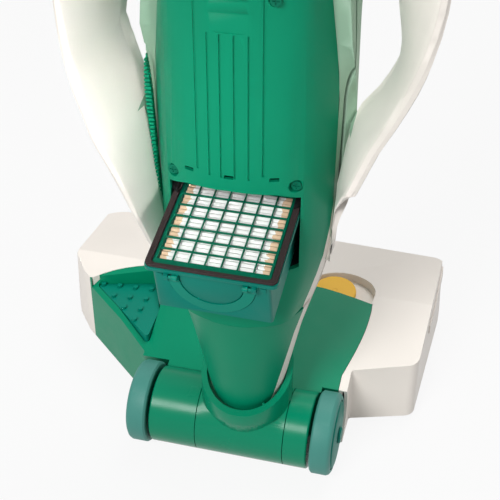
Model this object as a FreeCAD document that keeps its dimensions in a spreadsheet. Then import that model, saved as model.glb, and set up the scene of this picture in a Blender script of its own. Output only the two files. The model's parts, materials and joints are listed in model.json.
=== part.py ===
import FreeCAD, Part
import math
import os

import Sketcher

# Upright vacuum cleaner: an electric floor head on two rear wheels, a barrel
# joint, and a slim body with side loops, a rear filter drawer, a bag cover in
# front and a long handle. All lengths are in millimetres.
# Working frame: x to the right seen from behind, y forward, z up. The working
# origin is on the floor under the middle of the barrel joint, and every piece
# is placed from it by the same offset, so that the finished machine has its
# origin on the floor at the middle of its outline.

Vector = FreeCAD.Vector
Rotation = FreeCAD.Rotation
Placement = FreeCAD.Placement
AXIS_X = Vector(1, 0, 0)
AXIS_Y = Vector(0, 1, 0)
AXIS_Z = Vector(0, 0, 1)

doc = FreeCAD.newDocument("upright_cleaner")
sheet = doc.addObject("Spreadsheet::Sheet", "Sizes")
pieces = {}


# Sizes: each is a number and the sheet expression that gives it
class Size:
    def __init__(self, number, text):
        self.number = float(number)
        self.text = text

    def __float__(self):
        return self.number

    def __add__(self, other):
        other = as_size(other)
        return Size(self.number + other.number, "(%s + %s)" % (self.text, other.text))

    def __sub__(self, other):
        other = as_size(other)
        return Size(self.number - other.number, "(%s - %s)" % (self.text, other.text))

    def __mul__(self, other):
        other = as_size(other)
        return Size(self.number * other.number, "(%s * %s)" % (self.text, other.text))

    def __truediv__(self, other):
        other = as_size(other)
        return Size(self.number / other.number, "(%s / %s)" % (self.text, other.text))

    def __neg__(self):
        return Size(-self.number, "(0 - %s)" % self.text)

    def __radd__(self, other):
        return as_size(other) + self

    def __rsub__(self, other):
        return as_size(other) - self

    def __rmul__(self, other):
        return as_size(other) * self


def as_size(value):
    return value if isinstance(value, Size) else Size(value, repr(float(value)))


def size(alias, number):
    row = size.row = getattr(size, "row", 0) + 1
    sheet.set("A%d" % row, alias)
    sheet.set("B%d" % row, str(number))
    sheet.setAlias("B%d" % row, alias)
    return Size(number, "Sizes.%s" % alias)


# Driving sizes of the floor head
head_right = size("head_right", 133.5)
head_left = size("head_left", 198)
head_front = size("head_front", 212)
head_rear = size("head_rear", 14)
head_wall = size("head_wall", 2.6)
head_floor_gap = size("head_floor_gap", 4)
ridge_y = size("ridge_y", 118)
ridge_height = size("ridge_height", 81)
front_fall = size("front_fall", 0.14)
rear_fall = size("rear_fall", 0.31)
side_fall = size("side_fall", 0.05)
side_draft = size("side_draft", 5)
panel_gap = size("panel_gap", 0.4)
sole_thickness = size("sole_thickness", 3)
bumper_proud = size("bumper_proud", 1.2)
bumper_depth = size("bumper_depth", 9)
bumper_height = size("bumper_height", 52)

# Driving sizes of the barrel joint and the rear wheels
axle_height = size("axle_height", 33)
barrel_radius = size("barrel_radius", 30.7)
barrel_wall = size("barrel_wall", 3.2)
barrel_centre_half = size("barrel_centre_half", 35.2)
barrel_left_end = size("barrel_left_end", 74)
barrel_right_end = size("barrel_right_end", 54.4)
barrel_seam = size("barrel_seam", 0.5)
journal_length = size("journal_length", 8)
running_gap = size("running_gap", 0.05)
wheel_radius = size("wheel_radius", 33)
wheel_width = size("wheel_width", 18)
wheel_gap = size("wheel_gap", 2.6)
tyre_depth = size("tyre_depth", 5)
axle_radius = size("axle_radius", 4)
arch_gap = size("arch_gap", 3)

# Driving sizes of the brush, its motor and the front rollers
brush_y = size("brush_y", 168)
brush_height = size("brush_height", 21.5)
brush_left = size("brush_left", 176)
brush_right = size("brush_right", 100)
brush_core_radius = size("brush_core_radius", 12.5)
bristle_radius = size("bristle_radius", 19.8)
chamber_radius = size("chamber_radius", 22.5)
chamber_wall = size("chamber_wall", 2)
brush_shaft_radius = size("brush_shaft_radius", 3)
pulley_width = size("pulley_width", 9)
brush_pulley_radius = size("brush_pulley_radius", 11)
motor_pulley_radius = size("motor_pulley_radius", 5.5)
belt_thickness = size("belt_thickness", 1.4)
motor_y = size("motor_y", 96)
motor_height = size("motor_height", 34)
motor_radius = size("motor_radius", 23)
motor_length = size("motor_length", 74)
roller_radius = size("roller_radius", 8)
roller_width = size("roller_width", 14)
roller_y = size("roller_y", 130)
roller_spacing = size("roller_spacing", 196)

# Driving sizes of the dial and the pedal
dial_radius = size("dial_radius", 18.5)
dial_thickness = size("dial_thickness", 5)
dial_x = size("dial_x", 45)
dial_y = size("dial_y", 129)
dial_level = size("dial_level", 76.5)
dial_tilt = size("dial_tilt", 6)
dial_pocket_depth = size("dial_pocket_depth", 7.3)
flange_depth = size("flange_depth", 12)
notch_radius = size("notch_radius", 28.5)
pedal_height = size("pedal_height", 64)
pedal_thickness = size("pedal_thickness", 4)
stud_radius = size("stud_radius", 2.1)
stud_pitch = size("stud_pitch", 14.5)

# Driving sizes of the collar and the nose that plugs into it
collar_radius = size("collar_radius", 35.9)
collar_wall = size("collar_wall", 4.4)
collar_height = size("collar_height", 89.6)
collar_slope = size("collar_slope", 29.7)
collar_ledge = size("collar_ledge", 8.5)
nose_tip_radius = size("nose_tip_radius", 24.5)
nose_tip_height = size("nose_tip_height", 62)
nose_top_radius = size("nose_top_radius", 48.5)
nose_top_height = size("nose_top_height", 168)
shell_wall = size("shell_wall", 2.6)

# Driving sizes of the upper body
seam_y = size("seam_y", -3)
rear_depth = size("rear_depth", 45)
body_half_width = size("body_half_width", 61)
body_top = size("body_top", 640)
band_depth = size("band_depth", 16)
cover_depth = size("cover_depth", 84)
cover_bottom = size("cover_bottom", 262)
bay_half_width = size("bay_half_width", 47)
bay_bottom = size("bay_bottom", 212)
bay_top = size("bay_top", 280)

# Driving sizes of the filter drawer
drawer_tilt = size("drawer_tilt", 13)
drawer_y = size("drawer_y", 95)
drawer_z = size("drawer_z", 244.6)
drawer_half_width = size("drawer_half_width", 44)
drawer_length = size("drawer_length", 88)
drawer_depth = size("drawer_depth", 40)
tray_half_width = size("tray_half_width", 39)
cell_pitch_x = size("cell_pitch_x", 10.67)
cell_pitch_y = size("cell_pitch_y", 10)
cell_bar = size("cell_bar", 1.8)
cell_count = 7

# Driving sizes of the handle
stem_radius = size("stem_radius", 13)
stem_wall = size("stem_wall", 1.5)
stem_y = size("stem_y", 8)
stem_top = size("stem_top", 1010)
machine_height = size("machine_height", 1128)

# The offset from the working origin to the middle of the outline
shift_x = size("shift_x", 32.525)
shift_y = size("shift_y", -58.63)


# Builders
def bind(obj, **lengths):
    for prop, value in lengths.items():
        obj.setExpression(prop, as_size(value).text)


def put(obj, x=0, y=0, z=0, turn=None):
    obj.Placement = Placement(Vector(float(x), float(y), float(z)), turn or Rotation())
    for axis, value in (("x", x), ("y", y), ("z", z)):
        if isinstance(value, Size):
            obj.setExpression("Placement.Base.%s" % axis, value.text)
    return obj


def keep(obj, label, x=0, y=0, z=0, turn=None):
    put(obj, shift_x + x, shift_y + y, as_size(z), turn)
    obj.Label = label
    pieces[label] = obj
    return obj


def cylinder(name, radius, height, x=0, y=0, z=0, turn=None):
    obj = doc.addObject("Part::Cylinder", name)
    bind(obj, Radius=radius, Height=height)
    return put(obj, x, y, z, turn)


def cone(name, lower, upper, height, x=0, y=0, z=0, turn=None):
    obj = doc.addObject("Part::Cone", name)
    bind(obj, Radius1=lower, Radius2=upper, Height=height)
    return put(obj, x, y, z, turn)


def block(name, length, width, height, x=0, y=0, z=0, turn=None):
    obj = doc.addObject("Part::Box", name)
    bind(obj, Length=length, Width=width, Height=height)
    return put(obj, x, y, z, turn)


def fuse(name, *parts):
    obj = doc.addObject("Part::MultiFuse", name)
    obj.Shapes = list(parts)
    return obj


def common(name, *parts):
    obj = doc.addObject("Part::MultiCommon", name)
    obj.Shapes = list(parts)
    return obj


def cut(name, base, *tools):
    obj = doc.addObject("Part::Cut", name)
    obj.Base = base
    obj.Tool = tools[0] if len(tools) == 1 else fuse(name + "_tools", *tools)
    return obj


def group(name, *parts):
    obj = doc.addObject("Part::Compound", name)
    obj.Links = list(parts)
    return obj


def shaped(name, shape):
    obj = doc.addObject("Part::Feature", name)
    obj.Shape = shape
    return obj


ALONG_X = Rotation(AXIS_Y, 90)
ALONG_Y = Rotation(AXIS_X, -90)


def origin_plane(body, role):
    return next(plane for plane in body.Origin.OriginFeatures if plane.Role == role)


def outline_sketch(body, name, role, points):
    sketch = body.newObject("Sketcher::SketchObject", name)
    sketch.AttachmentSupport = (origin_plane(body, role), [""])
    sketch.MapMode = "FlatFace"
    count = len(points)
    for i in range(count):
        start = Vector(float(points[i][0]), float(points[i][1]), 0)
        end = Vector(float(points[(i + 1) % count][0]), float(points[(i + 1) % count][1]), 0)
        sketch.addGeometry(Part.LineSegment(start, end))
    for i in range(count):
        sketch.addConstraint(Sketcher.Constraint("Coincident", i, 2, (i + 1) % count, 1))
    for i, point in enumerate(points):
        for kind, axis, value in (("DistanceX", -2, point[0]), ("DistanceY", -1, point[1])):
            if float(value) == 0:
                sketch.addConstraint(Sketcher.Constraint("PointOnObject", i, 1, axis))
                continue
            number = sketch.addConstraint(Sketcher.Constraint(kind, -1, 1, i, 1, float(value)))
            if isinstance(value, Size):
                sketch.setExpression("Constraints[%d]" % number, value.text)
    return sketch


# A turned piece: (radius, height) points revolved about its own z axis
def turned(label, profile):
    body = doc.addObject("PartDesign::Body", label)
    sketch = outline_sketch(body, label + "_profile", "XZ_Plane", profile)
    revolution = body.newObject("PartDesign::Revolution", label + "_turn")
    revolution.Profile = sketch
    revolution.ReferenceAxis = (sketch, ["V_Axis"])
    revolution.Angle = 360
    return body


# A flat piece: an outline on its own xy plane, padded upwards
def padded(label, outline, height):
    body = doc.addObject("PartDesign::Body", label)
    sketch = outline_sketch(body, label + "_outline", "XY_Plane", outline)
    pad = body.newObject("PartDesign::Pad", label + "_pad")
    pad.Profile = sketch
    bind(pad, Length=height)
    return body


# Everything on the far side of a plane, as a large solid
def half_space(point, normal):
    reach = 3000
    solid = Part.makeBox(reach, reach, reach, Vector(-reach / 2, -reach / 2, 0))
    solid.Placement = Placement(point, Rotation(AXIS_Z, normal))
    return solid


# A closed outline with rounded corners, from (x, y, radius) corners
def rounded_wire(corners, z=0):
    edges = []
    ends = []
    count = len(corners)
    for i in range(count):
        before = Vector(*corners[i - 1][:2], 0)
        here = Vector(*corners[i][:2], 0)
        after = Vector(*corners[(i + 1) % count][:2], 0)
        back = (before - here).normalize()
        ahead = (after - here).normalize()
        half_angle = back.getAngle(ahead) / 2
        radius = corners[i][2]
        reach = radius / math.tan(half_angle)
        middle = here + (back + ahead).normalize() * (radius / math.sin(half_angle) - radius)
        ends.append((here + back * reach, middle, here + ahead * reach))
    for i in range(count):
        start, middle, end = ends[i]
        following = ends[(i + 1) % count][0]
        edges.append(Part.Arc(start, middle, end).toShape())
        edges.append(Part.LineSegment(end, following).toShape())
    wire = Part.Wire(edges)
    wire.translate(Vector(0, 0, z))
    return wire


# The same outline with its arcs as short straight steps
def stepped(wire, steps=5):
    points = []
    for edge in wire.Edges:
        count = steps if isinstance(edge.Curve, Part.Circle) else 1
        points += edge.discretize(count + 1)[:-1]
    return Part.makePolygon(points + points[:1])


def tube_x(outer, inner, start, end, y, z):
    length = float(end) - float(start)
    base = Vector(float(start), float(y), float(z))
    tube = Part.makeCylinder(float(outer), length, base, AXIS_X)
    if float(inner) > 0:
        tube = tube.cut(Part.makeCylinder(float(inner), length, base, AXIS_X))
    return tube


# The head's block: its outline on the floor under two sloping roofs, with a
# lowered copy for the hollow inside
def head_block(inset):
    right, left, front = float(head_right), float(head_left), float(head_front)
    rear = float(head_rear)
    corners = [
        (right, front, 12), (-left, front, 26), (-left, 131, 8), (-178.8, 106, 5),
        (-98, 34, 2), (-98, rear, 1), (75, rear, 1), (75, 50.5, 3), (right - 6.5, 67.5, 11),
    ]
    face = Part.Face(rounded_wire(corners))
    if inset:
        face = face.makeOffset2D(-inset)
    solid = face.extrude(Vector(0, 0, 120))
    peak = Vector(-32, float(ridge_y), float(ridge_height) + 3)
    rise, fall, side = float(rear_fall), float(front_fall), float(side_fall)
    draft = math.tan(math.radians(float(side_draft)))
    planes = [
        (peak, Vector(side * 0.5, fall, 1)), (peak, Vector(-side * 0.5, fall, 1)),
        (peak, Vector(side, -rise, 1)), (peak, Vector(-side, -rise, 1)),
        (Vector(-left, 0, 4), Vector(-1, 0, draft)), (Vector(right, 0, 4), Vector(1, 0, draft * 0.6)),
    ]
    for point, normal in planes:
        normal.normalize()
        solid = solid.cut(half_space(point - normal * inset, normal))
    return solid


# The line between the cream cover and the rear housing, as a tall prism that
# holds the housing's side; spread widens it on all sides
def housing_region(spread):
    edge = float(head_left) + 60
    front = [
        Vector(-167.5, 99, 0), Vector(-150, 109.5, 0), Vector(-125, 117.5, 0),
        Vector(-60, 123.5, 0), Vector(28, 123, 0), Vector(80, 115.5, 0),
    ]
    side = [Vector(80, 115.5, 0), Vector(79, 90, 0), Vector(72.5, 60, 0), Vector(68, 44, 0)]
    crest = Part.BSplineCurve()
    crest.interpolate(front)
    flank = Part.BSplineCurve()
    flank.interpolate(side)
    points = crest.toShape().discretize(26)[:-1] + flank.toShape().discretize(10)
    points += [Vector(68, -60, 0), Vector(-edge, -60, 0), Vector(-180, 99, 0)]
    face = Part.Face(Part.makePolygon(points + points[:1]))
    if spread:
        face = face.makeOffset2D(spread)
    return face.extrude(Vector(0, 0, 150))


wall = float(head_wall)
gap = float(panel_gap)
floor_gap = float(head_floor_gap)
axle_z = float(axle_height)
head_solid = head_block(0)
head_hollow = head_block(wall)
head_below = half_space(Vector(0, 0, floor_gap), Vector(0, 0, -1))
arch_radius = float(wheel_radius) + float(arch_gap)
left_wheel_start = -float(barrel_left_end) - float(wheel_gap)
right_wheel_start = float(barrel_right_end) + float(wheel_gap)
arches = tube_x(arch_radius, 0, -98.5, -float(barrel_left_end) - 0.4, 0, axle_z).fuse(
    tube_x(arch_radius, 0, float(barrel_right_end) + 0.4, 76.5, 0, axle_z))


# Rounded walls over the two wheels; spread gives the room they need
def arch_walls(spread):
    radius = arch_radius + wall + spread
    left = tube_x(radius, 0, -98.5 - spread, -float(barrel_left_end) + 1.5 + spread, 0, axle_z)
    right = tube_x(radius, 0, float(barrel_right_end) - 1.5 - spread, 76.5 + wall + spread, 0, axle_z)
    return left.fuse(right)


dial_floor = float(dial_level) - float(dial_pocket_depth)
head_core = head_solid.copy()
head_core.translate(Vector(0, 0, -float(flange_depth)))
dial_pocket = Part.makeCylinder(float(notch_radius), 60,
                                Vector(float(dial_x) + 7, float(dial_y) - 3, dial_floor))


# Cream cover: front roof, the block beside the right wheel and the left rim
def nozzle_cover():
    shell = head_solid.cut(head_hollow)
    pocket_cup = Part.makeCylinder(float(notch_radius) + wall, 60,
                                   dial_pocket.Solids[0].CenterOfMass - Vector(0, 0, 30 + wall))
    flank = housing_region(gap / 2 + wall).cut(housing_region(gap / 2)).common(head_solid)
    shell = shell.fuse([pocket_cup.common(head_solid), flank.cut(head_core)])
    shell = shell.cut(dial_pocket)
    shell = shell.cut(housing_region(gap / 2))
    shell = shell.cut(head_below)
    shell = shell.cut(arches)
    return largest(shell)


def largest(shape):
    return max(shape.Solids, key=lambda solid: solid.Volume)


keep(shaped("nozzle_cover", nozzle_cover()), "nozzle_cover")


# The pedal's outline: a triangle whose long side follows the rear left wall
def pedal_outline(spread):
    corners = [(-164.5, 99.6, 3), (-113, 113.5, 3), (-99, 78, 20), (-97.5, 41, 2)]
    face = Part.Face(rounded_wire(corners))
    if spread:
        face = face.makeOffset2D(spread)
    return face


# The room the dial turns in, under the housing's lip
dial_turn_rest = Rotation(AXIS_X, float(dial_tilt))
dial_space = Part.makeCylinder(float(dial_radius) + 1, float(dial_thickness) + 1.2, Vector(0, 0, -0.6))
dial_space.Placement = Placement(Vector(float(dial_x), float(dial_y), float(dial_level) - float(dial_thickness)),
                                 dial_turn_rest)


# Green rear housing: roof behind the ridge, cradle over the barrel, wheel
# arches, and a pocket for the pedal
def rear_housing():
    inside = housing_region(-gap / 2)
    cradle_radius = float(barrel_radius) + 0.3
    shell = head_solid.cut(head_hollow).common(inside)
    lip = inside.cut(housing_region(-gap / 2 - wall)).common(head_solid).cut(head_core)
    cradle = tube_x(cradle_radius + wall, 0, -98, 68, 0, axle_z).common(head_solid).common(inside)
    liner = arch_walls(0).common(head_solid).common(inside)
    low = float(pedal_height) - 14
    pocket = pedal_outline(0.8).extrude(Vector(0, 0, 60))
    pocket.translate(Vector(0, 0, low))
    pocket_cup = pedal_outline(0.8 + wall).extrude(Vector(0, 0, 60))
    pocket_cup.translate(Vector(0, 0, low - wall))
    shell = shell.fuse([lip, cradle, liner, pocket_cup.common(head_solid).common(inside)])
    shell = shell.cut(pocket)
    shell = shell.cut(dial_space)
    shell = shell.cut(tube_x(cradle_radius, 0, -99, 69, 0, axle_z))
    shell = shell.cut(arches)
    clearance = Part.makeCylinder(float(collar_radius) + 2, 120, Vector(0, 0, axle_z))
    shell = shell.cut(clearance)
    shell = shell.cut(head_below)
    rim_cut = half_space(Vector(-166.5, 95, 61.5), Vector(-0.42, -0.47, 0.78))
    shell = shell.cut(rim_cut.common(Part.makeBox(72, 70, 60, Vector(-168.5, 32, 45))))
    return largest(shell)


keep(shaped("rear_housing", rear_housing()), "rear_housing")


# Black sole plate: floor of the head with the suction mouth, the brush
# chamber's roof and the seats of the motor, the brush and the rollers
brush_z = float(brush_height)
chamber_left = -float(brush_left) - 2
chamber_right = float(brush_right) + 2


def sole_plate():
    base = floor_gap
    thick = float(sole_thickness)
    plate = head_block(wall + gap).common(Part.makeBox(700, 700, thick, Vector(-350, -350, base)))
    chamber_outer = tube_x(float(chamber_radius) + float(chamber_wall), 0,
                           chamber_left - 2, chamber_right + 2, float(brush_y), brush_z)
    chamber_inner = tube_x(float(chamber_radius), 0, chamber_left, chamber_right, float(brush_y), brush_z)
    mouth = Part.makeBox(chamber_right - chamber_left, 34, 30,
                         Vector(chamber_left, float(brush_y) - 17, base - 12))
    saddles = []
    for x in (float(motor_x) - 26, float(motor_x) + 20):
        saddles.append(Part.makeBox(6, 36, float(motor_height) - base - 8,
                                    Vector(x, float(motor_y) - 18, base + thick - 1)))
    plate = plate.fuse([chamber_outer] + saddles)
    plate = plate.cut(chamber_inner.fuse(mouth))
    plate = plate.cut(tube_x(float(motor_radius) + 0.1, 0, -60, 120, float(motor_y), float(motor_height)))
    shaft_hole = tube_x(float(brush_shaft_radius) + 0.3, 0, -200, 130, float(brush_y), brush_z)
    plate = plate.cut(shaft_hole)
    duct_hole = Part.makeBox(62, 30, 26, Vector(-71, float(brush_y) - 42, brush_z - 10))
    plate = plate.cut(duct_hole)
    plate = plate.cut(half_space(Vector(0, 0, base), Vector(0, 0, -1)))
    plate = plate.cut(tube_x(float(barrel_radius) + 0.4 + wall, 0, -99, 76.6, 0, axle_z))
    plate = plate.cut(arch_walls(0.1))
    for x in roller_places:
        well = Part.makeBox(float(roller_width) + 3, 24, 12, Vector(x - float(roller_width) / 2 - 1.5,
                                                                     float(roller_y) - 12, base - 1))
        plate = plate.cut(well)
        for side in (-1, 1):
            ear = Part.makeBox(3, 10, 12, Vector(x + side * (float(roller_width) / 2 + 3) - 1.5,
                                                 float(roller_y) - 5, base + thick - 1))
            plate = plate.fuse(ear)
        plate = plate.cut(tube_x(1.55, 0, x - 20, x + 20, float(roller_y), float(roller_radius)))
    return largest(plate.removeSplitter())


motor_x = size("motor_x", 46)
roller_middle = size("roller_middle", -34)
roller_places = [float(roller_middle) - float(roller_spacing) / 2,
                 float(roller_middle) + float(roller_spacing) / 2]
keep(shaped("sole_plate", sole_plate()), "sole_plate")


# Grey bumper strip round the front and the right side of the cover
def bumper_strip():
    level = float(bumper_height)
    band = Part.makeBox(700, 700, float(bumper_depth), Vector(-350, 60, level))
    proud = head_block(-float(bumper_proud))
    core = head_block(-0.02)
    strip = proud.cut(core).common(band)
    keep_front = Part.makeBox(340, 160, 200, Vector(-198, 205, 0)).fuse(
        Part.makeBox(60, 135, 200, Vector(100, 120, 0)))
    return largest(strip.common(keep_front))


keep(shaped("bumper_strip", bumper_strip()), "bumper_strip")

# Suction duct from the brush chamber back to the barrel
duct_front = Part.Wire(Part.makePolygon([
    Vector(-70, float(brush_y) - 22, 13), Vector(-10, float(brush_y) - 22, 13),
    Vector(-10, float(brush_y) - 22, 36), Vector(-70, float(brush_y) - 22, 36),
    Vector(-70, float(brush_y) - 22, 13)]).Edges)
duct_back_y = 24.0
duct_back = Part.Wire(Part.makePolygon([
    Vector(-20, duct_back_y, 18), Vector(20, duct_back_y, 18), Vector(20, duct_back_y, 46),
    Vector(-20, duct_back_y, 46), Vector(-20, duct_back_y, 18)]).Edges)
duct_solid = Part.makeLoft([duct_front, duct_back], True, True)


def shrunk(wire, amount):
    return Part.Face(wire).makeOffset2D(-amount).OuterWire


duct_bore = Part.makeLoft([shrunk(duct_front, 2), shrunk(duct_back, 2)], True, True)
duct_fit = tube_x(float(barrel_radius) + 0.3 + wall, 0, -60, 60, 0, axle_z).fuse(
    tube_x(float(chamber_radius) + float(chamber_wall), 0, -90, 10, brush_y, brush_z))
keep(shaped("suction_duct", largest(duct_solid.cut(duct_bore).cut(duct_fit))), "suction_duct")


# Barrel ends: fixed green segments, each with a journal for the centre one
def barrel_end(label, length, wheel_side_x, turn):
    outer = barrel_radius
    journal = barrel_radius - barrel_wall - running_gap
    bore = journal - 3
    profile = [
        (axle_radius, 0), (outer - 1, 0), (outer, 1), (outer, length), (journal, length),
        (journal, length + journal_length), (bore, length + journal_length), (bore, 5),
        (axle_radius + 5, 5), (axle_radius + 5, 14), (axle_radius, 14),
    ]
    return keep(turned(label, profile), label, wheel_side_x, 0, axle_height, turn)


left_length = barrel_left_end - barrel_centre_half - barrel_seam
right_length = barrel_right_end - barrel_centre_half - barrel_seam
barrel_end("barrel_left", left_length, -barrel_left_end, ALONG_X)
barrel_end("barrel_right", right_length, barrel_right_end, Rotation(AXIS_Y, -90))


# Rear wheels: a hub on a fixed steel axle and a soft tyre round it
def rear_wheel(side, inner_face_x, turn):
    hub_radius = wheel_radius - tyre_depth
    hub = [
        (axle_radius + running_gap, 0), (11, 0), (11, 1.5), (hub_radius - 4, 1.5), (hub_radius - 4, 0.5),
        (hub_radius, 0.5), (hub_radius, wheel_width - 3), (hub_radius - 2.5, wheel_width - 0.6),
        (14, wheel_width), (axle_radius + running_gap, wheel_width),
    ]
    tyre = [
        (hub_radius + 0.02, 0), (wheel_radius - 1.5, 0), (wheel_radius, 1.5),
        (wheel_radius, wheel_width - 5), (wheel_radius - 1, wheel_width - 3),
        (wheel_radius - 3.2, wheel_width - 1.6), (hub_radius + 0.02, wheel_width - 1.6),
    ]
    axle = [
        (0, -12), (axle_radius, -12), (axle_radius, wheel_width + 0.4), (axle_radius + 3, wheel_width + 0.4),
        (axle_radius + 2, wheel_width + 2), (0, wheel_width + 2),
    ]
    keep(turned("hub_" + side, hub), "hub_" + side, inner_face_x, 0, axle_height, turn)
    keep(turned("tyre_" + side, tyre), "tyre_" + side, inner_face_x, 0, axle_height, turn)
    keep(turned("axle_" + side, axle), "axle_" + side, inner_face_x, 0, axle_height, turn)


rear_wheel("left", -barrel_left_end - wheel_gap, Rotation(AXIS_Y, -90))
rear_wheel("right", barrel_right_end + wheel_gap, ALONG_X)

# Brush: a core on two journals and two rows of bristles wound round it
brush_length = brush_left + brush_right
core_profile = [
    (0, -8), (brush_shaft_radius, -8), (brush_shaft_radius, 0), (brush_core_radius, 0),
    (brush_core_radius, brush_length), (brush_shaft_radius, brush_length),
    (brush_shaft_radius, brush_length + 24), (0, brush_length + 24),
]
keep(turned("brush_core", core_profile), "brush_core", -brush_left, brush_y, brush_height, ALONG_X)


def bristle_row(phase):
    length = float(brush_length) - 12
    inner = float(brush_core_radius) - 0.5
    outer = float(bristle_radius)
    steps = 8
    twist = math.radians(200)
    wires = []
    for step in range(steps + 1):
        turn = phase + twist * abs(step / steps - 0.5)
        half = math.radians(6)
        z = 6 + length * step / steps
        corners = [(inner, turn - half), (outer, turn - half * 0.75), (outer, turn + half * 0.75),
                   (inner, turn + half)]
        points = [Vector(radius * math.cos(angle), radius * math.sin(angle), z)
                  for radius, angle in corners]
        wires.append(Part.makePolygon(points + points[:1]))
    lower = Part.makeLoft(wires[:steps // 2 + 1], True, True)
    upper = Part.makeLoft(wires[steps // 2:], True, True)
    core = Part.makeCylinder(float(brush_core_radius) + 0.02, length + 20)
    return [lower.cut(core), upper.cut(core)]


bristles = Part.makeCompound(bristle_row(0) + bristle_row(math.pi))
keep(shaped("bristle_rows", bristles), "bristle_rows", -brush_left, brush_y, brush_height, ALONG_X)

# Bearings that hold the brush at both ends of the chamber
bearing_profile = [
    (brush_shaft_radius + running_gap, 0), (8, 0), (8, 5), (brush_shaft_radius + running_gap, 5),
]
bearing_left = put(turned("bearing_a", bearing_profile), -brush_left - 9.2, 0, 0, ALONG_X)
bearing_right = put(turned("bearing_b", bearing_profile), brush_right + 4.2, 0, 0, ALONG_X)
keep(group("brush_bearings", bearing_left, bearing_right), "brush_bearings", 0, brush_y, brush_height)

# Belt drive: a pulley on the brush, a smaller one on the motor, a flat belt
pulley_x = brush_right + 11


def pulley(label, radius, bore, y, z):
    profile = [
        (bore, 0), (radius + 2.2, 0), (radius + 2.2, 1.2), (radius, 1.2), (radius, pulley_width - 1.2),
        (radius + 2.2, pulley_width - 1.2), (radius + 2.2, pulley_width), (bore, pulley_width),
    ]
    keep(turned(label, profile), label, pulley_x, y, z, ALONG_X)


motor_shaft_radius = size("motor_shaft_radius", 2.5)
pulley("brush_pulley", brush_pulley_radius, brush_shaft_radius + 0.01, brush_y, brush_height)
pulley("motor_pulley", motor_pulley_radius, motor_shaft_radius + running_gap, motor_y, motor_height)


def belt_loop(extra):
    first, second = float(brush_pulley_radius) + extra, float(motor_pulley_radius) + extra
    a = Vector(0, float(brush_y), brush_z)
    b = Vector(0, float(motor_y), float(motor_height))
    line = b - a
    lean = math.acos((first - second) / line.Length)
    base = math.atan2(line.z, line.y)

    def rim(centre, radius, angle):
        return centre + Vector(0, radius * math.cos(angle), radius * math.sin(angle))
    edges = [
        Part.LineSegment(rim(a, first, base + lean), rim(b, second, base + lean)).toShape(),
        Part.Arc(rim(b, second, base + lean), rim(b, second, base), rim(b, second, base - lean)).toShape(),
        Part.LineSegment(rim(b, second, base - lean), rim(a, first, base - lean)).toShape(),
        Part.Arc(rim(a, first, base - lean), rim(a, first, base + math.pi),
                 rim(a, first, base + lean)).toShape(),
    ]
    return Part.Face(Part.Wire(edges)).extrude(Vector(float(pulley_width) - 3.2, 0, 0))


belt = belt_loop(0.1 + float(belt_thickness)).cut(belt_loop(0.1))
keep(shaped("drive_belt", belt), "drive_belt", pulley_x + 1.6, 0, 0)

# Brush motor: a can with a shaft towards the belt
motor_profile = [
    (0, 0), (motor_radius - 3, 0), (motor_radius, 3), (motor_radius, motor_length - 3),
    (motor_radius - 3, motor_length), (7, motor_length), (7, motor_length + 4),
    (motor_shaft_radius, motor_length + 4), (motor_shaft_radius, motor_length + 38),
    (0, motor_length + 38),
]
keep(turned("brush_motor", motor_profile), "brush_motor", motor_x - motor_length / 2, motor_y,
     motor_height, ALONG_X)

# Front rollers under the sole, each on its own pin
roller_profile = [
    (1.6, 0), (roller_radius - 1, 0), (roller_radius, 1), (roller_radius, roller_width - 1),
    (roller_radius - 1, roller_width), (1.6, roller_width),
]
for side, offset in (("left", -1), ("right", 1)):
    roller_x = roller_middle + roller_spacing * (offset * 0.5)
    keep(turned("roller_" + side, roller_profile), "roller_" + side, roller_x - roller_width / 2,
         roller_y, roller_radius, ALONG_X)
roller_pins = [
    cylinder("roller_pin_a", 1.5, roller_width + 9, roller_middle - roller_spacing / 2 - roller_width / 2 - 4.5,
             roller_y, roller_radius, ALONG_X),
    cylinder("roller_pin_b", 1.5, roller_width + 9, roller_middle + roller_spacing / 2 - roller_width / 2 - 4.5,
             roller_y, roller_radius, ALONG_X),
]
keep(group("roller_pins", *roller_pins), "roller_pins")

# Yellow height dial: half of it shows in the notch, half turns under the
# housing's lip
dial_profile = [
    (2.05, 0), (dial_radius - 0.8, 0), (dial_radius, 0.8), (dial_radius, dial_thickness - 1),
    (dial_radius - 1, dial_thickness), (2.05, dial_thickness),
]
dial_base = dial_level - dial_thickness
keep(turned("height_dial", dial_profile), "height_dial", dial_x, dial_y, dial_base, dial_turn_rest)
keep(cylinder("dial_pin", 2, dial_thickness + 2), "dial_pin", dial_x, dial_y + 0.2, dial_base - 2.1, dial_turn_rest)


# Release pedal: a studded triangle hinged along its front edge
def release_pedal():
    low = float(pedal_height) - float(pedal_thickness)
    plate = pedal_outline(0).extrude(Vector(0, 0, float(pedal_thickness)))
    plate.translate(Vector(0, 0, low))
    skirt_face = pedal_outline(0).cut(pedal_outline(-2))
    skirt = skirt_face.extrude(Vector(0, 0, 4))
    skirt.translate(Vector(0, 0, low - 3.5))
    pedal = plate.fuse(skirt)
    for row in range(4):
        for column in range(4 - row):
            x = -114.5 - column * float(stud_pitch) - row * 0.3
            y = 103.4 - row * float(stud_pitch) - column * 1.2
            stud = Part.makeCylinder(float(stud_radius), 2.6, Vector(x, y, float(pedal_height) - 0.2))
            pedal = pedal.fuse(stud)
    barrel = Part.makeCylinder(3.2, 34, pedal_pin_start, pedal_pin_line)
    pedal = pedal.fuse(barrel)
    pedal = pedal.cut(Part.makeCylinder(1.56, 60, pedal_pin_start - pedal_pin_line * 10, pedal_pin_line))
    return largest(pedal)


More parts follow.
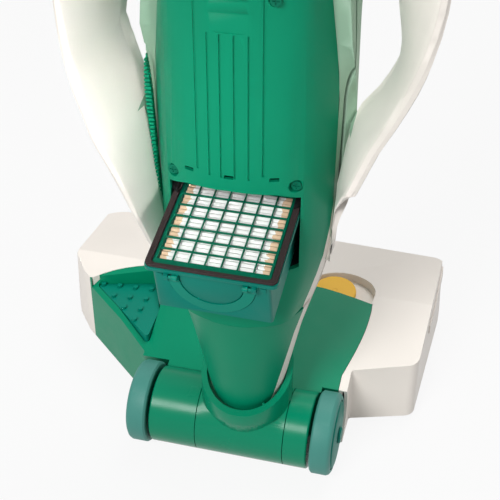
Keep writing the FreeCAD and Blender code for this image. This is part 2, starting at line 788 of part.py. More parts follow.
pedal_pin_line = Vector(51.5, 13.9, 0).normalize()
pedal_pin_start = Vector(-151.5, 97.5, float(pedal_height) - 5.2)
keep(shaped("release_pedal", release_pedal()), "release_pedal")
pedal_pin = Part.makeCylinder(1.5, 42, pedal_pin_start - pedal_pin_line * 4, pedal_pin_line)
keep(shaped("pedal_pin", pedal_pin), "pedal_pin")


# Smooth values between measured levels
def between(table, level):
    if level <= table[0][0]:
        return table[0][1]
    for (low, first), (high, second) in zip(table, table[1:]):
        if level <= high:
            share = (level - low) / (high - low)
            return first + (second - first) * share
    return table[-1][1]


def arc_points(start, middle, end, count):
    return Part.Arc(start, middle, end).toShape().discretize(count + 1)[:-1]


def bulged(start, end, bulge, count):
    side = (end - start).cross(AXIS_Z).normalize()
    return arc_points(start, (start + end) * 0.5 + side * bulge, end, count)


# A closed section at one level: two side seams, two soft creases and a
# crowned back; the back lies at negative y, or at positive y for a front
def ring(level, half, seam, crease_x, crease_y, back, inset=0):
    way = -1 if back < seam else 1
    half = half - inset
    crease_x = crease_x - inset * 0.8
    crease_y = crease_y - way * inset * 0.8
    back = back - way * inset
    if inset > 0:
        seam = seam - way * 1.5
    right_seam = Vector(half, seam, level)
    crease = Vector(crease_x, crease_y, level)
    top = Vector(0, back, level)
    side_end = crease + (right_seam - crease) * 0.28
    back_end = crease + (top - crease) * 0.2 + Vector(0, way * abs(back - crease_y) * 0.16, 0)
    soft = crease * 0.5 + (side_end + back_end) * 0.25

    def other(point):
        return Vector(-point.x, point.y, point.z)
    side_bulge = 0.6 * way
    points = bulged(right_seam, side_end, side_bulge, 2)
    points += arc_points(side_end, soft, back_end, 4)
    points += arc_points(back_end, top, other(back_end), 10)
    points += arc_points(other(back_end), other(soft), other(side_end), 4)
    points += bulged(other(side_end), other(right_seam), side_bulge, 2)
    points.append(other(right_seam))
    return Part.makePolygon(points + points[:1])


def tower(levels, section, inset=0):
    return Part.makeLoft([section(level, inset) for level in levels], True, True)


# Nose: the green rear half of the cone that stands in the collar
def nose_radius(level):
    return between([(62, float(nose_tip_radius)), (66, 25.5), (80, 29), (105, 34), (119, 37),
                    (143, 42), (168, float(nose_top_radius))], level)


def cone_rear(level, inset=0):
    radius = nose_radius(level) - inset
    points = [Vector(radius * math.cos(angle), radius * math.sin(angle), level)
              for angle in (0, -math.pi / 2, -math.pi)]
    outline = arc_points(*points, 24) + [points[2]]
    return Part.makePolygon(outline + outline[:1])


nose_levels = [62, 70, 80, 92, 105, 119, 131, 143, 156, 168]
front_seam = size("front_seam", 2)
rim_normal = Vector(0, -math.tan(math.radians(float(collar_slope))), 1).normalize()
ledge_point = Vector(0, 0, float(collar_height) - float(collar_ledge))


def nose_rear():
    outer = tower(nose_levels, cone_rear)
    inner = tower(nose_levels, cone_rear, float(shell_wall))
    base = Part.makeCylinder(float(nose_tip_radius), 3, Vector(0, 0, 62))
    shell = outer.cut(inner)
    floor = base.common(outer)
    lip_outer = Part.makeCylinder(float(nose_top_radius), 3, Vector(0, 0, 165))
    lip_inner = Part.makeCylinder(float(nose_top_radius) - 6, 3, Vector(0, 0, 165))
    lip = lip_outer.cut(lip_inner).common(outer)
    shell = shell.fuse([floor, lip])
    shell = shell.cut(Part.makeCylinder(riser_foot, 8, Vector(0, 0, 60)))
    return largest(shell.removeSplitter())


riser_foot = 17.4
nose_rear_shape = nose_rear()
keep(shaped("nose_rear", nose_rear_shape), "nose_rear")


# Tilt collar: the turning middle of the barrel with the oval cup on it
def tilt_collar():
    half = float(barrel_centre_half)
    outer = float(barrel_radius)
    inner = outer - float(barrel_wall)
    radius = float(collar_radius)
    barrel = tube_x(outer, 0, -half, half, 0, axle_z)
    cup = Part.makeCylinder(radius, 90, Vector(0, 0, 60))
    skirt = Part.makeCone(outer - 3, radius, 16, Vector(0, 0, 44))
    body = barrel.fuse([cup, skirt])
    rim = half_space(Vector(0, 0, float(collar_height)), rim_normal)
    body = body.cut(rim)
    body = body.cut(tube_x(outer + 0.3, 0, half, half + 60, 0, axle_z))
    body = body.cut(tube_x(outer + 0.3, 0, -half - 60, -half, 0, axle_z))
    bore = tube_x(inner, 0, -half, half, 0, axle_z)
    above_ledge = Part.makeCylinder(radius - float(collar_wall), 90, Vector(0, 0, 45))
    above_ledge = above_ledge.common(half_space(ledge_point, rim_normal))
    passage = Part.makeCylinder(22.5, 90, Vector(0, 0, 40))
    body = body.cut(bore.fuse([above_ledge, passage]))
    profile = [Vector(0, 0, 62)]
    for level in nose_levels:
        profile.append(Vector(nose_radius(level) + 0.12, 0, level))
    profile.append(Vector(0, 0, nose_levels[-1]))
    seat = Part.Face(Part.makePolygon(profile + profile[:1])).revolve(Vector(), AXIS_Z, 360)
    body = body.cut(seat)
    opening = Part.makeCylinder(outer + 1, 44, Vector(-22, 0, axle_z), AXIS_X)
    wedge_points = [Vector(-22, 0, axle_z)]
    for degrees in range(27, -98, -12):
        angle = math.radians(degrees)
        wedge_points.append(Vector(-22, 60 * math.cos(angle), axle_z + 60 * math.sin(angle)))
    wedge = Part.Face(Part.makePolygon(wedge_points + wedge_points[:1])).extrude(Vector(44, 0, 0))
    body = body.cut(wedge.common(opening))
    ribs = []
    for angle in (-14, -50):
        rib = Part.makeBox(5, 1.6, 40, Vector(radius - float(collar_wall) - 3.5, -0.8, 55))
        rib.rotate(Vector(), AXIS_Z, angle)
        low_rim = half_space(Vector(0, 0, float(collar_height) - 3.4), rim_normal)
        ribs.append(rib.cut(low_rim).common(half_space(ledge_point, rim_normal)).cut(seat))
    body = body.fuse([rib for rib in ribs if rib.Volume > 0.01])
    return largest(body.removeSplitter())


collar_shape = tilt_collar()
keep(shaped("tilt_collar", collar_shape), "tilt_collar")

# Casing sections: half width, seam, crease and back at each level
seam_half_table = [(168, 48.5), (190, 55), (212, 59.3), (235, 61), (281, 61.2), (330, 61.5),
                   (350, 60.5), (370, 58.4), (385, 56.7), (400, 55), (440, 52.5), (500, 50), (560, 48.5),
                   (640, 46)]
seam_y_table = [(168, 0), (190, -1.5), (212, -2.5), (235, -3), (330, -3), (350, -4), (370, -5.5),
                (385, -7), (400, -8), (440, -9.5), (500, -11), (560, -11), (640, -10)]
crease_x_table = [(168, 38.5), (190, 43), (212, 46.5), (235, 48), (281, 48), (330, 47.5), (400, 46),
                  (500, 43), (560, 41), (640, 37)]
crease_y_table = [(168, -36.5), (190, -34.5), (212, -33), (235, -32), (330, -32), (400, -32), (500, -31),
                  (640, -27)]
back_table = [(168, -48.5), (190, -47), (212, -45.8), (235, -45), (400, -45), (500, -44), (560, -42),
              (640, -37)]


def casing_ring(level, inset=0):
    return ring(level, between(seam_half_table, level), between(seam_y_table, level),
                between(crease_x_table, level), between(crease_y_table, level),
                between(back_table, level), inset)


casing_levels = [168.4, 180, 196, 212, 235, 281, 315, 340, 360, 380, 400, 440, 500, 560, 610, 640]
casing_outer = tower(casing_levels, casing_ring)
casing_inner = tower(casing_levels, casing_ring, float(shell_wall))
drawer_turn = Rotation(AXIS_X, float(drawer_tilt))
drawer_place = Placement(Vector(0, -float(drawer_y), float(drawer_z)), drawer_turn)


def in_drawer_frame(shape):
    shape.Placement = drawer_place.multiply(shape.Placement)
    return shape


bay_clear = size("bay_clear", 0.6)
bay_side = drawer_half_width + bay_clear
bay_roof = size("bay_roof", 24)
bay_start = size("bay_start", 50)
bay_end = size("bay_end", 137)
lip_level = size("lip_level", 277.4)
lip_side = lip_level - 5


def bay_block(extra, start, end):
    return in_drawer_frame(Part.makeBox(
        2 * (float(bay_side) + extra), end - start, float(drawer_depth) + 1.5 + float(bay_roof) + 2 * extra,
        Vector(-float(bay_side) - extra, start, -float(drawer_depth) - 1.5 - extra)))


# Green fluted rear casing with the opening for the drawer
def rear_casing():
    shell = casing_outer.cut(casing_inner)
    floor = casing_outer.common(Part.makeBox(200, 200, 3, Vector(-100, -100, 168.4)))
    floor = floor.cut(Part.makeCylinder(float(nose_top_radius) - 8, 6, Vector(0, 0, 167)))
    roof = casing_outer.common(Part.makeBox(200, 200, 3, Vector(-100, -100, 637)))
    shell = shell.fuse([floor, roof])
    arch = [(-60, 200), (-60, lip_side), (-44.6, lip_side), (-30, lip_level - 1.2), (0, lip_level),
            (30, lip_level - 1.2), (44.6, lip_side), (60, lip_side), (60, 200), (-60, 200)]
    below_lip = Part.Face(Part.makePolygon([Vector(x, -100, float(level)) for x, level in arch]))
    shell = shell.cut(bay_block(0, 0, 80).common(below_lip.extrude(Vector(0, 200, 0))))
    for x in (-21.9, 21.6):
        shell = shell.cut(groove(x, 290, 640, 1.5, 1.1))
    for x in (-13.5, -5.5, 3.5, 12.5):
        shell = shell.cut(groove(x, 287, 386, 1.3, 1.1))
    panel = Part.makeBox(33, 8, 90, Vector(-18, -52, 387)).cut(
        Part.makeBox(33, 8, 90, Vector(-18, -44.2, 387)))
    shell = shell.cut(panel)
    for level in (399, 407):
        shell = shell.cut(Part.makeBox(32, 0.9, 1.2, Vector(-17.5, -44.8, level)))
    for x, y, level in hole_places:
        shell = shell.cut(Part.makeCylinder(4.6, 7, Vector(x, y - 6, level), AXIS_Y))
        cup = Part.makeCylinder(6.4, 9, Vector(x, y - 3.4, level), AXIS_Y).common(casing_outer)
        cup = cup.cut(Part.makeCylinder(4.6, 7, Vector(x, y - 6, level), AXIS_Y))
        shell = shell.fuse(cup).cut(Part.makeCylinder(1.9, 20, Vector(x, y, level), AXIS_Y))
    for x in (-28.4, -0.6, 28.3):
        shell = shell.cut(Part.makeBox(6.2, 14, 2.6, Vector(x - 3.1, back_at(x, 285) - 10, 286.4)))
    return largest(shell)


def back_at(x, level):
    crease = Vector(between(crease_x_table, level), between(crease_y_table, level), 0)
    back = between(back_table, level)
    rise = crease.y - back
    radius = (crease.x ** 2 + rise ** 2) / (2 * rise)
    return back + radius - math.sqrt(radius ** 2 - x ** 2)


def groove(x, low, high, width, depth):
    surface = back_at(x, 350)
    return Part.makeBox(width, 12 + depth, high - low, Vector(x - width / 2, surface - 12, low))


hole_places = [(-41.5, -33, 281.6), (41.5, -33, 281.6), (-28, -41, 409), (28, -41, 409)]
keep(shaped("rear_casing", rear_casing()), "rear_casing")
screw_heads = []
for x, y, level in hole_places:
    head = Part.makeCylinder(3.4, 2.2, Vector(x, y - 1.2, level), AXIS_Y)
    head = head.fuse(Part.makeCylinder(1.9, 12, Vector(x, y + 0.5, level), AXIS_Y))
    head = head.cut(Part.makeBox(0.8, 1.2, 4.4, Vector(x - 0.4, y - 1.7, level - 2.2)))
    head = head.cut(Part.makeBox(4.4, 1.2, 0.8, Vector(x - 2.2, y - 1.7, level - 0.4)))
    screw_heads.append(head.removeSplitter())
keep(shaped("casing_screws", Part.makeCompound(screw_heads)), "casing_screws")

# Cream front half of the neck, from the cone's tip to the cover's hinge
front_half_table = [(62, 24), (80, 28.6), (105, 33.6), (119, 36.8), (143, 42), (168, 49), (190, 55.6),
                    (212, 60), (235, 61.8), (262, 63.4)]
front_depth_table = [(62, 23), (80, 25.5), (105, 28), (119, 32), (143, 44), (168, 57), (190, 68), (212, 76),
                     (235, 81), (262, 83)]


def front_ring(level, inset=0):
    half = between(front_half_table, level)
    depth = between(front_depth_table, level)
    seam = 0.5 + between(seam_y_table, level)
    return ring(level, half, seam, half * 0.8, seam + (depth - seam) * 0.66, depth, inset)


front_levels = [62, 72, 82, 94, 105, 119, 131, 143, 156, 168, 190, 212, 235, 262]
front_outer = tower(front_levels, front_ring)
front_inner = tower(front_levels, front_ring, float(shell_wall))


def lower_shell():
    shell = front_outer.cut(front_inner)
    floor = Part.makeCylinder(24, 3, Vector(0, 0, 62)).common(front_outer)
    roof = front_outer.common(Part.makeBox(200, 200, 3, Vector(-100, -100, 259)))
    roof = roof.cut(bay_block(3.6, 40, 158))
    roof = roof.cut(Part.makeCylinder(float(riser_radius) + 3.5, 12, riser_path[4] + Vector(-1, 0, -8)))
    roof = roof.cut(Part.makeBox(160, 3.2, 12, Vector(-80, 0.4, 255)))
    shell = shell.fuse([floor, roof])
    shell = shell.cut(Part.makeCylinder(riser_foot, 8, Vector(0, 0, 60)))
    inside_cup = Part.makeCylinder(float(collar_radius) + 3, 90, Vector(0, 0, 40)).cut(
        half_space(Vector(0, 0, float(collar_height) + 0.3), rim_normal))
    keep_in = Part.makeCylinder(float(collar_radius) - float(collar_wall) - 0.15, 90, Vector(0, 0, 40))
    shell = shell.cut(inside_cup.cut(keep_in))
    for side in (-1, 1):
        shell = shell.cut(Part.makeBox(30, 60 + float(band_depth) - 1.6, 64, Vector(side * 69.6 - 15, -60, 202)))
    shell = shell.cut(bay_block(2.3, 40, 158))
    ears = []
    for x in (-22, -12, 12, 22):
        ear = Part.makeBox(5, 8.8, 8, Vector(x - 2.5, float(hinge_y) - 4.4, 260))
        ear = ear.fuse(Part.makeCylinder(4.4, 5, Vector(x - 2.5, float(hinge_y), float(hinge_z)), AXIS_X))
        ears.append(ear.cut(tube_x(2.03, 0, -70, 70, float(hinge_y), float(hinge_z))))
    return largest(shell.fuse(ears))


riser_radius = size("riser_radius", 8.5)
hinge_y = size("hinge_y", 76)
hinge_z = size("hinge_z", 268)
riser_path = [Vector(0, 0, 62), Vector(0, 0, 96), Vector(16, 59, 207), Vector(16, 59, 236), Vector(30, 55, 262),
              Vector(38, 60, 306), Vector(38, 62, 412)]


# Filter bay: a tunnel with guide rails for the drawer's rim
def filter_bay():
    tunnel = bay_block(2, float(bay_start), float(bay_end)).cut(bay_block(0, 0, float(bay_end) - 2))
    rails = []
    for side in (-1, 1):
        for low in (-6.1, 3.4):
            rails.append(in_drawer_frame(Part.makeBox(
                4.6, float(bay_end) - float(bay_start) - 2, 3,
                Vector(side * (float(bay_side) - 2.2) - 2.3, float(bay_start), low))))
    tunnel = tunnel.fuse(rails)
    slots = []
    for number in range(5):
        slots.append(in_drawer_frame(Part.makeBox(
            10, 50, 8, Vector(-37 + 16 * number, 78, float(bay_roof) - 4))))
    for number in range(5):
        slots.append(in_drawer_frame(Part.makeBox(
            10, 40, 8, Vector(-37 + 16 * number, 84, -float(drawer_depth) - 5))))
    tunnel = tunnel.cut(Part.makeCompound(slots))
    for x, y, level in hole_places[:2]:
        tunnel = tunnel.cut(Part.makeCylinder(6.6, 10, Vector(x, y - 4, level), AXIS_Y))
    space = casing_inner.fuse(Part.makeBox(130, 90, 160, Vector(-65, -3, 168)))
    return largest(tunnel.common(space))


keep(shaped("filter_bay", filter_bay()), "filter_bay")


# Side frames: the sage band between casing and cover, and the wide grip
# that flares away from it and comes back above
def band_ring(level):
    seam = Vector(between(seam_half_table, level), between(seam_y_table, level), level)
    edge_x = between([(205, 60.6), (230, 62), (250, 64), (270, 66.5), (290, 69), (310, 71), (330, 70.4),
                      (350, 69.7), (370, 68.7), (400, 66), (440, 64), (500, 61), (560, 57), (640, 50)], level)
    edge_y = between([(205, 3), (230, 3), (250, 5), (270, 8), (290, 11), (310, 12.5), (330, 11), (350, 2),
                      (370, -8), (400, -9), (500, -11), (640, -10)], level)
    front_x = between([(205, 61), (230, 62.4), (262, 65), (310, 70.6), (400, 69.4), (500, 66), (600, 58),
                       (640, 52)], level)
    corners = [
        seam + Vector(0.02, 0, 0), Vector(edge_x, edge_y, level), Vector(front_x, float(band_depth) - 2, level),
        Vector(seam.x - 3, float(band_depth) - 2, level),
    ]
    return Part.makePolygon(corners + corners[:1])


def blade_ring(level, inner, outer, thick, lean):
    start = Vector(inner[0], inner[1], level)
    end = Vector(outer[0], outer[1], level)
    along = (end - start).normalize()
    across = Vector(-along.y, along.x, 0) * (thick / 2)
    start = start + across * 0.8
    end = end + across * 0.8
    tip = start + Vector(-3, 14, 0) * lean
    nose_cut = along * (thick * 0.42)
    a = tip + nose_cut + across
    b = start + nose_cut - across
    c = end - nose_cut - across * 0.8
    d = end - nose_cut + across * 0.8
    swell = across * 0.34
    nose = Part.BSplineCurve()
    nose.interpolate([a, tip, start, b])
    points = nose.toShape().discretize(8)[:-1] + arc_points(b, (b + c) * 0.5 - swell, c, 4)
    points += arc_points(c, end, d, 4) + arc_points(d, (a + d) * 0.5 + swell, a, 4)
    return Part.makePolygon(points + points[:1])


# Rounded values between measured levels, with the slope carried through
def curved(table, level):
    count = len(table)
    index = 0
    while index < count - 2 and level > table[index + 1][0]:
        index += 1
    slopes = []
    for i in (index, index + 1):
        before, after = table[max(i - 1, 0)], table[min(i + 1, count - 1)]
        slopes.append((after[1] - before[1]) / (after[0] - before[0]))
    (low, first), (high, second) = table[index], table[index + 1]
    span = high - low
    t = (level - low) / span
    rise = 3 * t ** 2 - 2 * t ** 3
    bend = slopes[0] * (t ** 3 - 2 * t ** 2 + t) + slopes[1] * (t ** 3 - t ** 2)
    return first + (second - first) * rise + bend * span


blade_inner = [(205, (55, -12)), (230, (58.8, -11.2)), (250, (62, -9.8)), (270, (65, -6.5)),
               (290, (67.5, -2)), (310, (70, 5)), (322, (75, 13)), (336, (86, 22)), (354, (95, 29)),
               (372, (93, 31)), (400, (88, 25)), (440, (87, 17)), (500, (86, 15)), (560, (79, 14)),
               (600, (68, 10)), (632, (52, 2))]
blade_outer = [(205, (59, -27)), (230, (64.9, -33.3)), (250, (69.6, -38.3)), (270, (72.3, -45.6)),
               (290, (75.7, -53.3)), (310, (82.3, -57.3)), (322, (87, -54.5)), (336, (94.5, -48.5)),
               (354, (104, -37.5)), (372, (111.5, -28.3)), (400, (118.5, -19.5)), (440, (121, -15)),
               (500, (118, -14)), (560, (105, -16)), (600, (86, -20)), (632, (62, -22))]


lean_table = [(205, 0.12), (310, 0.12), (336, 1), (500, 1), (580, 0.6), (600, 0.25), (632, 0.12)]
strip_depth_table = [(232, 8), (310, 9), (354, 9), (363, 8), (372, 5)]


def strip_point(level):
    xs = [(z, point[0]) for z, point in blade_inner]
    ys = [(z, point[1]) for z, point in blade_inner]
    lean = between(lean_table, level) - 0.12
    return Vector(between(xs, level) - 0.4 - 2.4 * lean, between(ys, level) + 1 + 9 * lean, level)


def strip_base(reach):
    rings = []
    for level in (232, 250, 270, 290, 310, 322, 336, 345, 354, 363, 372):
        point = strip_point(level)
        deep = between(strip_depth_table, level)
        corners = [point - Vector(reach, 0, 0), point + Vector(4, 0, 0), point + Vector(5, deep - 1, 0),
                   point + Vector(-reach, deep + reach / 5, 0)]
        rings.append(Part.makePolygon(corners + corners[:1]))
    return Part.makeLoft(rings, True, True)


def side_band():
    levels = [205, 230, 250, 270, 290, 310, 330, 350, 370, 400, 440, 500, 560, 600, 639.6]
    band = Part.makeLoft([band_ring(level) for level in levels], True, True)
    return band.cut(casing_envelope).cut(plate_slot)


blade_levels = [205, 218, 230, 240, 250, 260, 270, 280, 290, 300, 310, 322, 336, 345, 354, 363, 372, 386, 400,
                420, 440, 470, 500, 530, 560, 580, 600, 616, 632]


def side_frame():
    rings = []
    for level in blade_levels:
        inner_x, inner_y = (curved([(z, point[i]) for z, point in blade_inner], level) for i in (0, 1))
        outer_x, outer_y = (curved([(z, point[i]) for z, point in blade_outer], level) for i in (0, 1))
        thick = between([(205, 5), (230, 8), (270, 10), (354, 12), (560, 12), (632, 10)], level)
        start = Vector(inner_x, inner_y, 0)
        along = (Vector(outer_x, outer_y, 0) - start).normalize()
        start = start - along * between([(205, 8), (310, 9), (322, 5), (336, 0)], level)
        rings.append(blade_ring(level, (start.x, start.y), (outer_x, outer_y), thick, between(lean_table, level)))
    blade = Part.makeLoft(rings, True, True)
    blade = blade.cut(casing_envelope).cut(strip_channel).cut(plate_slot)
    return largest(band_shape.fuse(blade))


# Chassis: a plate down the middle of the body with two shelves
def plate_solid():
    levels = [171.6, 190, 203, 206, 235, 281, 330, 370, 400, 440, 500, 560, 636]
    right = [Vector(between(seam_half_table, level) + (2 if level > 204 else -4), 0, level)
             for level in levels]
    left = [Vector(-point.x, 0, point.z) for point in reversed(right)]
    outline = Part.makePolygon(right + left + right[:1])
    return Part.Face(outline).extrude(Vector(0, 3, 0))


chassis_plate = plate_solid()
chassis_plate.translate(Vector(0, 0.5, 0))
plate_slot = Part.makeBox(30, 3, 434, Vector(40, 0.5, 202.5))
casing_envelope = tower(casing_levels, casing_ring, -0.15)
strip_core = strip_base(0)
strip_channel = strip_base(3)
band_shape = side_band()
frame_right_shape = side_frame()
frame_left_shape = frame_right_shape.mirror(Vector(), AXIS_X)
keep(shaped("lower_shell", lower_shell()), "lower_shell")
keep(shaped("frame_right", frame_right_shape), "frame_right")
keep(shaped("frame_left", frame_left_shape), "frame_left")

fan_y = size("fan_y", 42)
fan_shelf = size("fan_shelf", 307)
fan_radius = size("fan_radius", 30)
fan_length = size("fan_length", 62)
impeller_radius = size("impeller_radius", 31)


def chassis():
    plate = chassis_plate.copy()
    lower = Part.makeBox(54, 68, 3, Vector(-27, 2, float(fan_shelf) - 3))
    upper = Part.makeBox(54, 68, 3, Vector(-27, 2, float(fan_shelf) + 86))
    plate = plate.fuse([lower, upper])
    plate = plate.cut(bay_block(2.02, float(bay_start) - 20, float(bay_end) + 20))
    plate = plate.cut(Part.makeCylinder(16, 12, Vector(0, float(fan_y), float(fan_shelf) + 80)))
    plate = plate.cut(Part.makeCylinder(12, 12, Vector(0, float(fan_y), float(fan_shelf) - 6)))
    plate = plate.cut(Part.makeBox(40, 8, 90, Vector(-20, -2, 445)))
    spine = []
    for x, y, level in hole_places:
        post_start = y + 5.62
        post = Part.makeCylinder(4.2, 1.5 - post_start, Vector(x, post_start, level), AXIS_Y)
        post = post.cut(Part.makeCylinder(1.92, 60, Vector(x, y - 5, level), AXIS_Y))
        if level > 300:
            spine.append(post)
    plate = plate.fuse(spine)
    return largest(plate.removeSplitter())


keep(shaped("chassis", chassis()), "chassis")

# Ribbed grip strips that line the inner side of both wide grips
def grip_strip():
    ribs = []
    for number in range(rib_count):
        level = 240 + number * float(rib_pitch)
        point = strip_point(level)
        deep = between(strip_depth_table, level)
        ribs.append(Part.makeBox(2, deep - 2.5, float(rib_pitch) * 0.5, point + Vector(-0.7, 1, 0)))
    strip = strip_core.fuse(ribs)
    return strip.cut(casing_envelope).cut(band_shape)


rib_pitch = size("rib_pitch", 2.8)
rib_count = 46
strip_shape = grip_strip()
strip_right = largest(strip_shape)
keep(shaped("grip_strip_right", strip_right), "grip_strip_right")
keep(shaped("grip_strip_left", strip_right.mirror(Vector(), AXIS_X)), "grip_strip_left")

# Green bag cover in front, hinged at its lower edge
cover_half_table = [(264, 66.4), (330, 69.2), (400, 69.6), (500, 66.5), (560, 62.5), (600, 58.8), (636, 54)]
cover_depth_table = [(264, 83), (330, 85.5), (400, 86), (500, 84), (560, 79), (600, 74), (636, 67)]


def cover_ring(level, inset=0):
    half = between(cover_half_table, level)
    depth = between(cover_depth_table, level)
    seam = float(band_depth) - 1.6
    return ring(level, half, seam, half * 0.86, seam + (depth - seam) * 0.8, depth, inset)


cover_levels = [272, 300, 330, 365, 400, 450, 500, 540, 575, 610, 636]
cover_outer = tower(cover_levels, cover_ring)
cover_inner = tower(cover_levels, cover_ring, float(shell_wall))


def bag_cover():
    shell = cover_outer.cut(cover_inner)
    roof = cover_outer.common(Part.makeBox(200, 200, 2.6, Vector(-100, -100, 633.4)))
    slot = Part.makeBox(24.4, 4, 6, Vector(-12.2, 60, 631))
    shell = shell.fuse(roof)
    knuckles = []
    for x in (-17, 17):
        knuckle = Part.makeCylinder(4.4, 4.8, Vector(x - 2.4, float(hinge_y), float(hinge_z)), AXIS_X)
        web = Part.makeBox(4.8, 7, 8, Vector(x - 2.4, float(hinge_y) - 1, float(hinge_z)))
        knuckles.append(knuckle.fuse(web))
    shell = shell.fuse(knuckles)
    shell = shell.cut(tube_x(2.05, 0, -70, 70, float(hinge_y), float(hinge_z)))
    shell = shell.cut(slot)
    return largest(shell)


keep(shaped("bag_cover", bag_cover()), "bag_cover")
pin = cylinder("cover_pin_rod", 2, 50, -25, hinge_y, hinge_z, ALONG_X)
keep(group("cover_pin", pin), "cover_pin")

# Fan motor on the lower shelf, impeller above it on the motor's shaft
fan_profile = [
    (0, 0), (fan_radius - 2, 0), (fan_radius, 2), (fan_radius, fan_length - 2),
    (fan_radius - 2, fan_length), (6, fan_length), (6, fan_length + 3), (3, fan_length + 3),
    (3, fan_length + 20), (0, fan_length + 20),
]
keep(turned("fan_motor", fan_profile), "fan_motor", 0, fan_y, fan_shelf)


def fan_impeller():
    base = Part.makeCylinder(float(impeller_radius), 1.6)
    hub = Part.makeCylinder(8, 14)
    top = Part.makeCylinder(float(impeller_radius), 1.4, Vector(0, 0, 14)).cut(
        Part.makeCylinder(14, 4, Vector(0, 0, 13)))
    solid = base.fuse([hub, top])
    vanes = []
    for number in range(9):
        vane = Part.makeBox(float(impeller_radius) - 8.5, 1.4, 13.4, Vector(7.6, -0.7, 1))
        vane.rotate(Vector(8, 0, 0), AXIS_Z, 18)
        vane.rotate(Vector(), AXIS_Z, number * 40)
        vanes.append(vane.common(Part.makeCylinder(float(impeller_radius) - 0.3, 20)))
    solid = solid.fuse(vanes)
    solid = solid.cut(Part.makeCylinder(3.02, 40, Vector(0, 0, -5)))
    return largest(solid)


keep(shaped("fan_impeller", fan_impeller()), "fan_impeller", 0, fan_y, fan_shelf + fan_length + 3.3)

# Bag holder and the paper bag that stands on it
holder_level = size("holder_level", 409)


riser_top = riser_path[-1]


def bag_holder():
    corners = [(52, 15, 4), (52, 71, 22), (-52, 71, 22), (-52, 15, 4)]
    plate = Part.Face(rounded_wire(corners, float(holder_level))).extrude(Vector(0, 0, 3))
    tongue = Part.makeBox(80, 16, 3, Vector(-40, 3.5, float(holder_level)))
    collar = Part.makeCylinder(float(riser_radius) + 2, 8, riser_top + Vector(0, 0, float(holder_level) - 412))
    plate = plate.fuse([tongue, collar])
    return largest(plate.cut(Part.makeCylinder(float(riser_radius) + 0.03, 40, riser_top - Vector(0, 0, 20))))


keep(shaped("bag_holder", bag_holder()), "bag_holder")


def filter_bag():
    def bag_ring(level, half, depth):
        corners = [(half, 15.5, 12), (half, 15.5 + depth, 18), (-half, 15.5 + depth, 18), (-half, 15.5, 12)]
        return stepped(rounded_wire(corners, level))
    rings = [bag_ring(412.05, 42, 44), bag_ring(424, 47, 51), bag_ring(470, 51, 55), bag_ring(530, 50, 53),
             bag_ring(580, 44, 47), bag_ring(606, 38, 40)]
    bag = Part.makeLoft(rings, True, True)
    return largest(bag.cut(Part.makeCylinder(float(riser_radius) + 2.1, 16, riser_top - Vector(0, 0, 8))))


keep(shaped("filter_bag", filter_bag()), "filter_bag")


# Riser: the air pipe from the nose's tip round the fan motor to the bag
def riser_tube():
    pipe = None
    for radius in (float(riser_radius), float(riser_radius) - 1.6):
        solids = []
        for start, end in zip(riser_path[1:], riser_path[2:]):
            solids.append(Part.makeCylinder(radius, (end - start).Length, start, end - start))
            solids.append(Part.makeSphere(radius, start))
        solid = solids[0].fuse(solids[1:])
        foot_wall = 0 if radius == float(riser_radius) else 1.6
        foot = Part.makeCylinder(riser_foot - 0.02 - foot_wall, 14, Vector(0, 0, 62 - foot_wall))
        bell = Part.makeCone(riser_foot - 0.02 - foot_wall, radius, 20, Vector(0, 0, 76 - foot_wall))
        solid = solid.fuse([foot, bell])
        pipe = solid if pipe is None else pipe.cut(solid)
    end = riser_path[-1] - riser_path[-2]
    top = Part.makeCylinder(float(riser_radius) - 1.6, 60, riser_path[-1] - end * 0.2, end)
    return largest(pipe.cut(top))


riser_shape = riser_tube()
keep(shaped("riser_tube", riser_shape), "riser_tube")


# Filter drawer, in its own tilted frame: x across, y inwards, z up
def drawer_piece(label, shape):
    obj = shaped(label, shape)
    keep(obj, label, 0, -drawer_y, drawer_z, drawer_turn)


half = float(drawer_half_width)
tray_half = float(tray_half_width)
depth = float(drawer_depth)
length = float(drawer_length)


def rounded_box(x_half, start, end, low, high, radius):
    corners = [(x_half, start, radius), (x_half, end, radius), (-x_half, end, radius),
               (-x_half, start, radius)]
    return Part.Face(rounded_wire(corners, low)).extrude(Vector(0, 0, high - low))


def cassette_tray():
    tray = rounded_box(tray_half, 2.5, length - 3, -depth, -1, 2)
    rim = rounded_box(half, 0, length, -3, 0, 4)
    tray = tray.fuse(rim)
    tray = tray.cut(rounded_box(tray_half - 2, 4.5, length - 5, -depth + 2, 5, 1.5))
    openings = []
    for row in range(3):
        for column in range(3):
            openings.append(Part.makeBox(20, 20, 9, Vector(-35 + column * 25, 10 + row * 24, -depth - 3)))
    tray = tray.cut(openings)
    bail_outer = Part.makeCylinder(29.5, 1.6, Vector(0, 2, -8), AXIS_Y)
    bail_inner = Part.makeCylinder(21, 1.8, Vector(0, 2, -8), AXIS_Y)
    lower_half = Part.makeBox(70, 6, 40, Vector(-35, 0, -48))
    tray = tray.cut(bail_outer.cut(bail_inner).common(lower_half))
    for x in (-23.2, 23.2):
        tray = tray.cut(Part.makeBox(4.4, 6, 8.4, Vector(x - 2.2, -2, -11.6)))
    for x in (-25.3, 25.3):
        lug = Part.makeBox(3, 5, 4.4, Vector(x * 1.145 - 1.5, -1.8, -7.9))
        tray = tray.fuse(lug)
    for x in (-34, 34):
        tray = tray.fuse(Part.makeBox(4, 1.2, 3, Vector(x - 2, 1.5, -9)))
    tray = tray.cut(tube_x(1.22, 0, -40, 40, -0.2, -6))
    return largest(tray)


drawer_piece("cassette_tray", cassette_tray())


